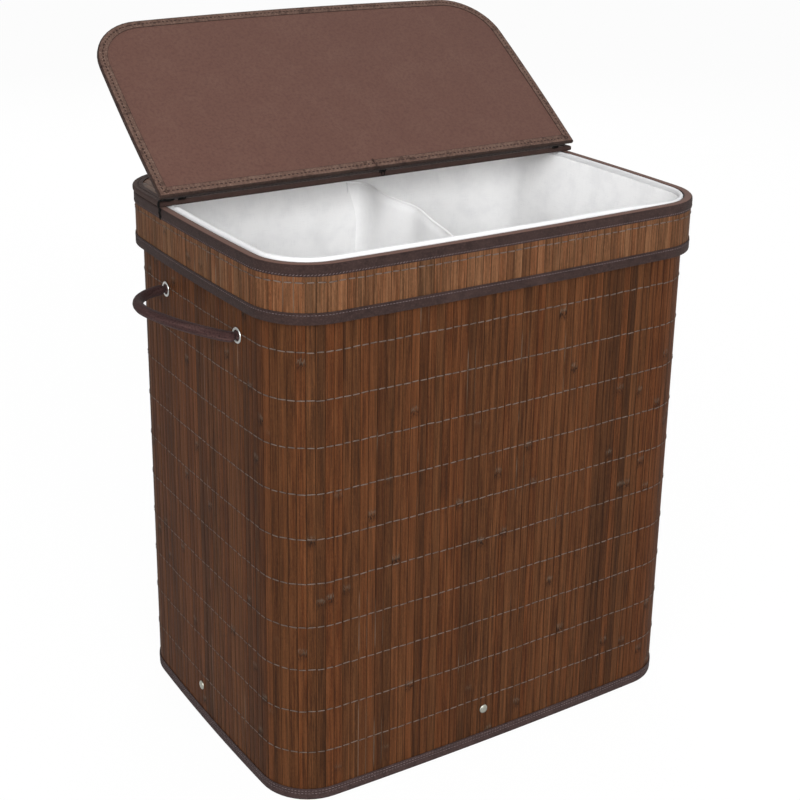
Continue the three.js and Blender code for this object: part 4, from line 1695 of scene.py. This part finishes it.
@dataclass
class LidBand(SubAssembly):
    """The lid's band: its mat, its taped edges and their stitches."""

    slat_outer: float = 7.3 * MM
    slat_thickness: float = 1.5 * MM
    tape_outer: float = 8.2 * MM
    low: float = 523.9 * MM
    high: float = 579.9 * MM
    row: float = 564 * MM
    tape: float = 0.6 * MM
    # The tapes' fold number rises to 1 above this level: a painted highlight on the top fold.
    painted_highlight_level: float = 580.9 * MM
    painted_highlight_rise: float = 0.7 * MM
    stitch: Place = (1.4 * MM, 0.36 * MM, 0.3 * MM)
    stitch_pitch: float = 3.4 * MM
    stitch_rows: Sequence[tuple[float, float]] = ((532.6 * MM, 0.0), (571.6 * MM, 0.45))
    lower_path: Section = (
        (3.8, 535), (3.8, 524.2), (4.0, 523.6), (4.5, 523.3), (7.1, 523.3), (7.65, 523.55),
        (7.9, 524.2), (7.9, 531.4), (7.66, 532.6), (7.88, 533.8), (7.8, 535),
    )
    upper_path: Section = (
        (4.0, 577.3), (-0.8, 577.3), (-1.1, 577.6), (-1.2, 579.4), (-0.9, 580.5), (-0.2, 581.2),
        (0.8, 581.5), (3.4, 581.55), (5.6, 581.5), (6.6, 581.2), (7.35, 580.6), (7.8, 579.7),
        (7.9, 578.8), (7.9, 573.0), (7.64, 571.6), (7.86, 570.5), (7.78, 570),
    )

    def build(self) -> None:
        """Builds the band's pieces and dresses its nodes."""
        mat = Mat(self.outline, self.stitching, 23)
        slats = mat.upright(self.slat_outer, self.slat_thickness, self.low, self.high)
        self.bench.piece("slats_of_lid_band", slats, "lid_bamboo", Body.LID, "lid_band_slats")
        rows = mat.rows(self.slat_outer + THREAD_LIFT, [self.row])
        self.bench.piece("threads_of_lid_band", rows, "weft", Body.LID)
        mesh = stitched("end")
        line = self.outline.round(self.tape_outer - THREAD_LIFT, LINE_STEP)
        for level, slant in self.stitch_rows:
            self.stitching.ring(mesh, line, level, self.stitch_pitch, self.stitch, slant)
        self.bench.piece("stitches_of_lid_band", mesh, "stitches", Body.LID)
        for node, path in (("lid_lower_tape", self.lower_path), ("lid_upper_tape", self.upper_path)):
            tape = self.outline.sweep(thicken(in_mm(path), self.tape), RING_STEP)
            # fold: 1 on the top fold, where the top tape's material paints a lighter crease colour as a
            # painted highlight.
            fold = tape.verts.layers.float.new("fold")
            for vert in tape.verts:
                vert[fold] = smooth((vert.co.z - self.painted_highlight_level) / self.painted_highlight_rise)
            self.bench.piece(f"folded_{node}", tape, "top_tape_with_painted_highlight", Body.LID, node)
        self.bench.dress("backing", "lid_band_backing")
        self.bench.dress("wire", "lid_wire")


@dataclass
class LidPanels(SubAssembly):
    """The fixed rear strip and the flap: slats, board, lining, binding and stitches."""

    edge: float = 9.2 * MM
    tape_width: float = 11 * MM
    bottom: float = 582.3 * MM
    lining_level: float = 583.2 * MM
    lining_thickness: float = 0.4 * MM
    slats_top: float = 587.1 * MM
    slats_thickness: float = 1.3 * MM
    top: float = 588.0 * MM
    hinge: Place = (0, 63 * MM, 589.1 * MM)
    gap: float = 1.1 * MM
    open_angle: float = 144
    seam_inset: float = 5.8 * MM
    stitch: Place = (1.45 * MM, 0.85 * MM, 0.28 * MM)
    stitch_pitch: float = 5 * MM
    slat_inset: float = 1.5 * MM
    lining_inset: float = 4 * MM
    lining_grid: float = 12 * MM
    lining_spans: tuple[float, float] = (560 * MM, 420 * MM)
    strand: float = 0.5 * MM
    tack_inset: float = 26 * MM
    tack_radius: float = 1.05 * MM
    tack_sway: float = 0.8 * MM
    tack_pitch: float = 1.7 * MM
    lash_pitch: float = 0.62 * MM
    lash_wander: float = 1.7
    joint_x: float = -9 * MM
    joint_sink: float = 0.15 * MM
    joint_strand: float = 0.4 * MM

    def build(self) -> None:
        """Builds both panels, then the threads that join them."""
        turn = Matrix.Translation(self.hinge) @ Matrix.Rotation(-math.radians(self.open_angle), 4, "X")
        opened = turn @ Matrix.Translation(-Vector(self.hinge))
        reach = self.outline.depth
        self.build_panel("rear", Body.LID, self.hinge[1] + self.gap, reach, Matrix.Identity(4))
        self.build_panel("flap", Body.FLAP, -reach, self.hinge[1] - self.gap, opened)
        self.build_tacks()
        self.build_joint(opened)

    def plan(self, out: float, low: float, high: float) -> list[Vector]:
        """The outline, moved outwards and cut off in front of one line and behind another.

        Args:
            out: Distance outwards from the wall's slats.
            low: The line in front.
            high: The line behind.

        Returns:
            The corners of what is left, anticlockwise, at height 0.
        """
        points = self.outline.round(out, RING_STEP)
        for limit, sign in ((high, 1), (low, -1)):
            kept = []
            for a, b in zip(points, points[1:] + points[:1]):
                inside = [sign * (p.y - limit) <= 0 for p in (a, b)]
                if inside[0]:
                    kept.append(a)
                if inside[0] != inside[1]:
                    kept.append(a.lerp(b, (limit - a.y) / (b.y - a.y)))
            points = kept
        return points

    def build_panel(self, name: str, body: Body, low: float, high: float, opened: Matrix) -> None:
        """Builds one panel closed, and turns it to where it rests.

        Args:
            name: rear or flap.
            body: The body that it rides on.
            low: Its front edge.
            high: Its back edge.
            opened: The turn from closed to rest.
        """
        # The rear strip's binding takes the darker finish: painted shade from the flap over it.
        tape = "binding" if body is Body.FLAP else "rear_binding_painted_shade"
        for title, mesh, finish, node in (
            ("slats", self.slats(low, high), "lid_bamboo", "slats"),
            ("cloth", self.lining(low, high), "lining", "lining"),
            ("binding", self.binding(low, high), tape, "tape"),
        ):
            bmesh.ops.transform(mesh, matrix=opened, verts=mesh.verts)
            self.bench.piece(f"{title}_of_{name}", mesh, finish, body, f"{name}_{node}")
        mesh = stitched("end")
        inset = self.seam_inset
        line = self.plan(self.edge - inset, low + inset, high - inset)
        places = []
        for level, out in ((self.bottom, -1), (self.top, 1)):
            for point, way in resample(line, self.stitch_pitch, True):
                places.append((point + UP * level, way, UP * out))
        self.stitching.add(mesh, places, self.stitch)
        bmesh.ops.transform(mesh, matrix=opened, verts=mesh.verts)
        self.bench.piece(f"stitches_of_{name}", mesh, "dark_stitches", body)
        self.bench.dress("board", f"{name}_board")

    def slats(self, low: float, high: float) -> bmesh.types.BMesh:
        """Slats that run from front to back inside the binding."""
        mat = Mat(self.outline, self.stitching, 37 if low < 0 else 41)
        mesh = stitched(*NUMBERS)
        pitch, inset = self.outline.pitch, self.slat_inset
        count = round((self.outline.width / 2 + self.edge) / pitch)
        edge = self.plan(self.edge - inset, low + inset, high - inset)
        for i in range(-count, count):
            x = (i + 0.5) * pitch
            cross = []
            for a, b in zip(edge, edge[1:] + edge[:1]):
                for side in (x - pitch / 2, x + pitch / 2):
                    if (a.x - side) * (b.x - side) < 0:
                        cross.append((side, a.lerp(b, (side - a.x) / (b.x - a.x)).y))
            sides = {side for side, _ in cross}
            near = max(min(y for s, y in cross if s == side) for side in sides)
            far = min(max(y for s, y in cross if s == side) for side in sides)
            centre = Vector((x, (near + far) / 2, self.slats_top - self.slats_thickness / 2))
            width, length = Vector((pitch - mat.gap, 0, 0)), Vector((0, far - near, 0))
            mat.slat(mesh, width, UP * -self.slats_thickness, length, centre, near)
        return mesh

    def lining(self, low: float, high: float) -> bmesh.types.BMesh:
        """The cloth under the board, with faint waves where it is stretched."""
        inset, grid = self.lining_inset, self.lining_grid
        mesh = bmesh.new()
        corners = self.plan(self.edge - inset, low + inset, high - inset)
        mesh.faces.new([mesh.verts.new((p.x, p.y, self.lining_level)) for p in corners])
        for axis, span in zip((Vector((1, 0, 0)), Vector((0, 1, 0))), self.lining_spans):
            for k in range(1, int(span / grid)):
                geom, cut = [*mesh.verts, *mesh.edges, *mesh.faces], axis * (k * grid - span / 2)
                bmesh.ops.bisect_plane(mesh, geom=geom, plane_co=cut, plane_no=axis, dist=0.01 * MM)
        lower = bmesh.ops.duplicate(mesh, geom=mesh.faces[:])["geom"]
        upper = [g for g in lower if isinstance(g, bmesh.types.BMVert)]
        bmesh.ops.translate(mesh, vec=(0, 0, self.lining_thickness), verts=upper)
        edges = [edge for edge in mesh.edges if edge.is_boundary]
        bmesh.ops.bridge_loops(mesh, edges=edges)
        bmesh.ops.recalc_face_normals(mesh, faces=mesh.faces)
        for vert in mesh.verts:
            if vert.co.z < self.lining_level + self.lining_thickness / 2:
                wave = noise.noise(vert.co * 9.0) + 0.5 * noise.noise(vert.co * 23.0)
                vert.co.z -= (0.18 + 0.16 * wave) * MM
        return mesh

    def binding(self, low: float, high: float) -> bmesh.types.BMesh:
        """The tape folded round the panel's edge, with mitred corners and a sunken seam."""
        width, under, over, seam = self.tape_width / MM, self.bottom, self.top, self.seam_inset / MM
        lower = in_mm((
            (width, 0.0), (width - 1.1, 0.0), (seam + 1.3, 0.0), (seam, 0.22), (seam - 1.3, 0.0),
            (2.0, 0.0), (1.1, 0.1), (0.35, 0.55), (0.0, 1.4),
        ))
        inner = in_mm(((0.6, 1.5), (0.9, 0.9), (1.5, 0.6), (width, 0.6)))
        section = [(inward, under + rise) for inward, rise in lower]
        section += [(inward, over - rise) for inward, rise in (*reversed(lower), *reversed(inner))]
        section += [(inward, under + rise) for inward, rise in inner]
        return wrap(self.plan(self.edge, low, high), section)

    def build_tacks(self) -> None:
        """Winds the three bundles of thread that hinge the flap, and the lashing at its left end."""
        chance = random.Random(5)
        edge = self.outline.width / 2 + self.edge
        side = edge - self.tack_inset
        tail = ((0, 0.2, 0), (3, 0, -2.4), (2, -0.1, -5.6), (-0.6, 0, -4), (-0.6, 0.1, 0))
        for name, x in (("left", -side), ("middle", 0.0), ("right", side)):
            lines = [self.coil(x + (k - 2) * self.tack_pitch, chance.uniform(-1, 1)) for k in range(5)]
            if name == "middle":
                lines.append(flow([Vector(point) * MM for point in tail], 5))
            node = f"hinge_tack_{name}"
            self.bench.piece(f"wound_{node}", self.strands(lines), "black_thread", Body.LID, node)
        lines = []
        for k in range(6):
            route = [
                (-11 - 1.5 * k, -0.4), (-5, 0.5), (-2, 0.6), (0.3, -0.7), (0.45, -5.0), (-0.35, -8.6),
                (-0.4, -12.0), (-0.4, -12.0 - chance.uniform(0, 7)),
            ]
            line = []
            for out, up in route:
                wander = chance.uniform(-self.lash_wander, self.lash_wander) * MM
                along = (k - 2) * self.lash_pitch + wander
                line.append(Vector((-edge - out * MM, along, up * MM)))
            lines.append(flow(line, 4))
        self.bench.piece("lashed_hinge_end", self.strands(lines), "black_thread", Body.LID)

    def coil(self, shift: float, tilt: float) -> list[Vector]:
        """One turn of thread about the hinge line.

        Args:
            shift: Its place along the hinge line.
            tilt: Where round the turn it leans, in radians.

        Returns:
            Its points, from the hinge line's middle.
        """
        line = []
        for angle in (2 * math.pi * i / 14 for i in range(15)):
            sway = self.tack_sway * math.sin(angle + tilt)
            radial = self.tack_radius * math.cos(angle), self.tack_radius * math.sin(angle)
            line.append(Vector((shift + sway, *radial)))
        return line

    def strands(self, lines: Iterable[Sequence[Vector]]) -> bmesh.types.BMesh:
        """Threads along lines that are given from the hinge line's middle."""
        hinge = Vector(self.hinge)
        return bundle([[point + hinge for point in line] for line in lines], self.strand)

    def build_joint(self, opened: Matrix) -> None:
        """Sews the ends of the flap's binding over each other near the middle of its hinge edge.

        Args:
            opened: The turn from closed to rest.
        """
        x, y, z = self.joint_x, self.hinge[1] - self.gap, self.bottom - self.joint_sink
        lines = []
        for shift, start, end in ((0, 0.2, 11.5), (1.1, 0.4, 3.6), (-0.9, 7.5, 12.6)):
            places = [(shift + 0.5 * math.sin(k), start + (end - start) * k / 8) for k in range(9)]
            lines.append([Vector((x + across * MM, y - back * MM, z)) for across, back in places])
        mesh = bundle(lines, self.joint_strand)
        bmesh.ops.transform(mesh, matrix=opened, verts=mesh.verts)
        self.bench.piece("sewn_binding_joint", mesh, "dark_stitches", Body.FLAP)


# --- Studio -----------------------------------------------------------------------------------


def backdrop_rays(tree: bpy.types.NodeTree) -> bpy.types.NodeSocket:
    """Adds nodes that tell the rays that show the backdrop.

    Args:
        tree: The world's or a material's nodes.

    Returns:
        1 for a ray from the camera, or one that metal or glass sends on; otherwise 0.
    """
    path = tree.nodes.new("ShaderNodeLightPath")
    last = path.outputs["Is Camera Ray"]
    for kind in ("Is Glossy Ray", "Is Transmission Ray"):
        either = tree.nodes.new("ShaderNodeMath")
        either.operation = "MAXIMUM"
        tree.links.new(last, either.inputs[0])
        tree.links.new(path.outputs[kind], either.inputs[1])
        last = either.outputs[0]
    return last


@dataclass(frozen=True)
class Lamp:
    """A soft square lamp that faces the hamper."""

    name: str
    place: Place
    size: float
    power: float

    def hang(self, aim: Vector) -> None:
        """Hangs it, turned towards a point."""
        data = bpy.data.lights.new(self.name, "AREA")
        data.size, data.energy = self.size, self.power
        lamp = show(self.name, data)
        lamp.location = self.place
        lamp.rotation_euler = (Vector(self.place) - aim).to_track_quat("Z", "Y").to_euler()


@dataclass
class Studio:
    """The camera, the pale floor, and soft light."""

    azimuth: float = -32.044
    elevation: float = 18.657
    roll: float = 0.648
    distance: float = 1.702467
    slide: float = -0.032855
    lift: float = 0.147738
    focal: float = 1492.338
    middle: tuple[float, float] = (380, 300)
    frame_size: float = 800
    sensor: float = 36
    aim: Place = (0, 0, 0.3)
    ambient: float = 0.45
    floor: Colour = (0.86, 0.86, 0.86, 1.0)
    glow: float = 0.95
    lamps: tuple[Lamp, ...] = (
        Lamp("front", (-0.6, -3.0, 1.4), 2.0, 86),
        Lamp("front_left", (-2.2, -2.4, 2.3), 2.0, 68),
        Lamp("left", (-2.8, -1.2, 1.5), 2.2, 29),
        Lamp("right", (3.0, -0.5, 1.6), 2.0, 26),
        Lamp("back", (1.4, 2.8, 1.9), 2.0, 40),
    )

    def place_camera(self) -> None:
        """Puts the camera where the photograph was taken from."""
        az, el, roll = (math.radians(angle) for angle in (self.azimuth, self.elevation, self.roll))
        back = Vector((math.sin(az) * math.cos(el), -math.cos(az) * math.cos(el), math.sin(el)))
        level = UP.cross(back).normalized()
        upright = back.cross(level)
        right = level * math.cos(roll) + upright * math.sin(roll)
        up = upright * math.cos(roll) - level * math.sin(roll)
        place = back * self.distance + right * self.slide + up * self.lift + Vector(self.aim)
        data = bpy.data.cameras.new("camera")
        data.sensor_width = self.sensor
        data.lens = self.focal * self.sensor / self.frame_size
        data.shift_x = (self.frame_size / 2 - self.middle[0]) / self.frame_size
        data.shift_y = (self.middle[1] - self.frame_size / 2) / self.frame_size
        camera = show("camera", data)
        camera.matrix_world = axes(right, up, back, place)
        bpy.context.scene.camera = camera

    def light(self) -> None:
        """Lays the floor, hangs the lamps and sets the world."""
        self.lay_floor()
        for lamp in self.lamps:
            lamp.hang(Vector(self.aim))
        world = bpy.data.worlds.new("studio")
        world.use_nodes = True
        tree = world.node_tree
        level = tree.nodes.new("ShaderNodeMapRange")
        level.inputs["To Min"].default_value = self.ambient
        level.inputs["To Max"].default_value = 1.0
        tree.links.new(backdrop_rays(tree), level.inputs[0])
        tree.links.new(level.outputs[0], tree.nodes["Background"].inputs["Strength"])
        tree.nodes["Background"].inputs["Color"].default_value = WHITE
        bpy.context.scene.world = world
        bpy.context.scene.view_settings.view_transform = "Standard"

    def lay_floor(self) -> None:
        """Lays a pale floor that the camera sees nearly white, with the hamper's shadow."""
        mesh = bmesh.new()
        bmesh.ops.create_grid(mesh, x_segments=8, y_segments=8, size=25.0)
        floor = show("floor", settle("floor", mesh))
        recipe = Recipe("pale_floor", Roughness=0.9, Base_Color=self.floor)
        glow = recipe.node("ShaderNodeEmission", {}, {"Color": WHITE, "Strength": 1.0})
        surface = Channel(recipe, recipe.shader.outputs[0])
        seen = Channel(recipe, backdrop_rays(recipe.tree))
        mixed = recipe.node("ShaderNodeMixShader", {}, {0: seen * self.glow, 1: surface, 2: glow})
        recipe.tree.links.new(mixed.socket, recipe.tree.nodes["Material Output"].inputs["Surface"])
        floor.data.materials.append(recipe.material)


def main() -> None:
    """Builds the studio, then each sub-assembly in turn."""
    logging.basicConfig(level=logging.INFO, format="%(relativeCreated)6d ms %(message)s")
    studio = Studio()
    studio.place_camera()
    outline, stitching, bench = Outline(), Stitching(), Bench(Finishes())
    for part in (Handles, Wall, Liner, LidBand, LidPanels):
        part(outline, stitching, bench).build()
    studio.light()
    LOG.info("%d pieces made", len(bench.made))


if __name__ == "__main__":
    main()
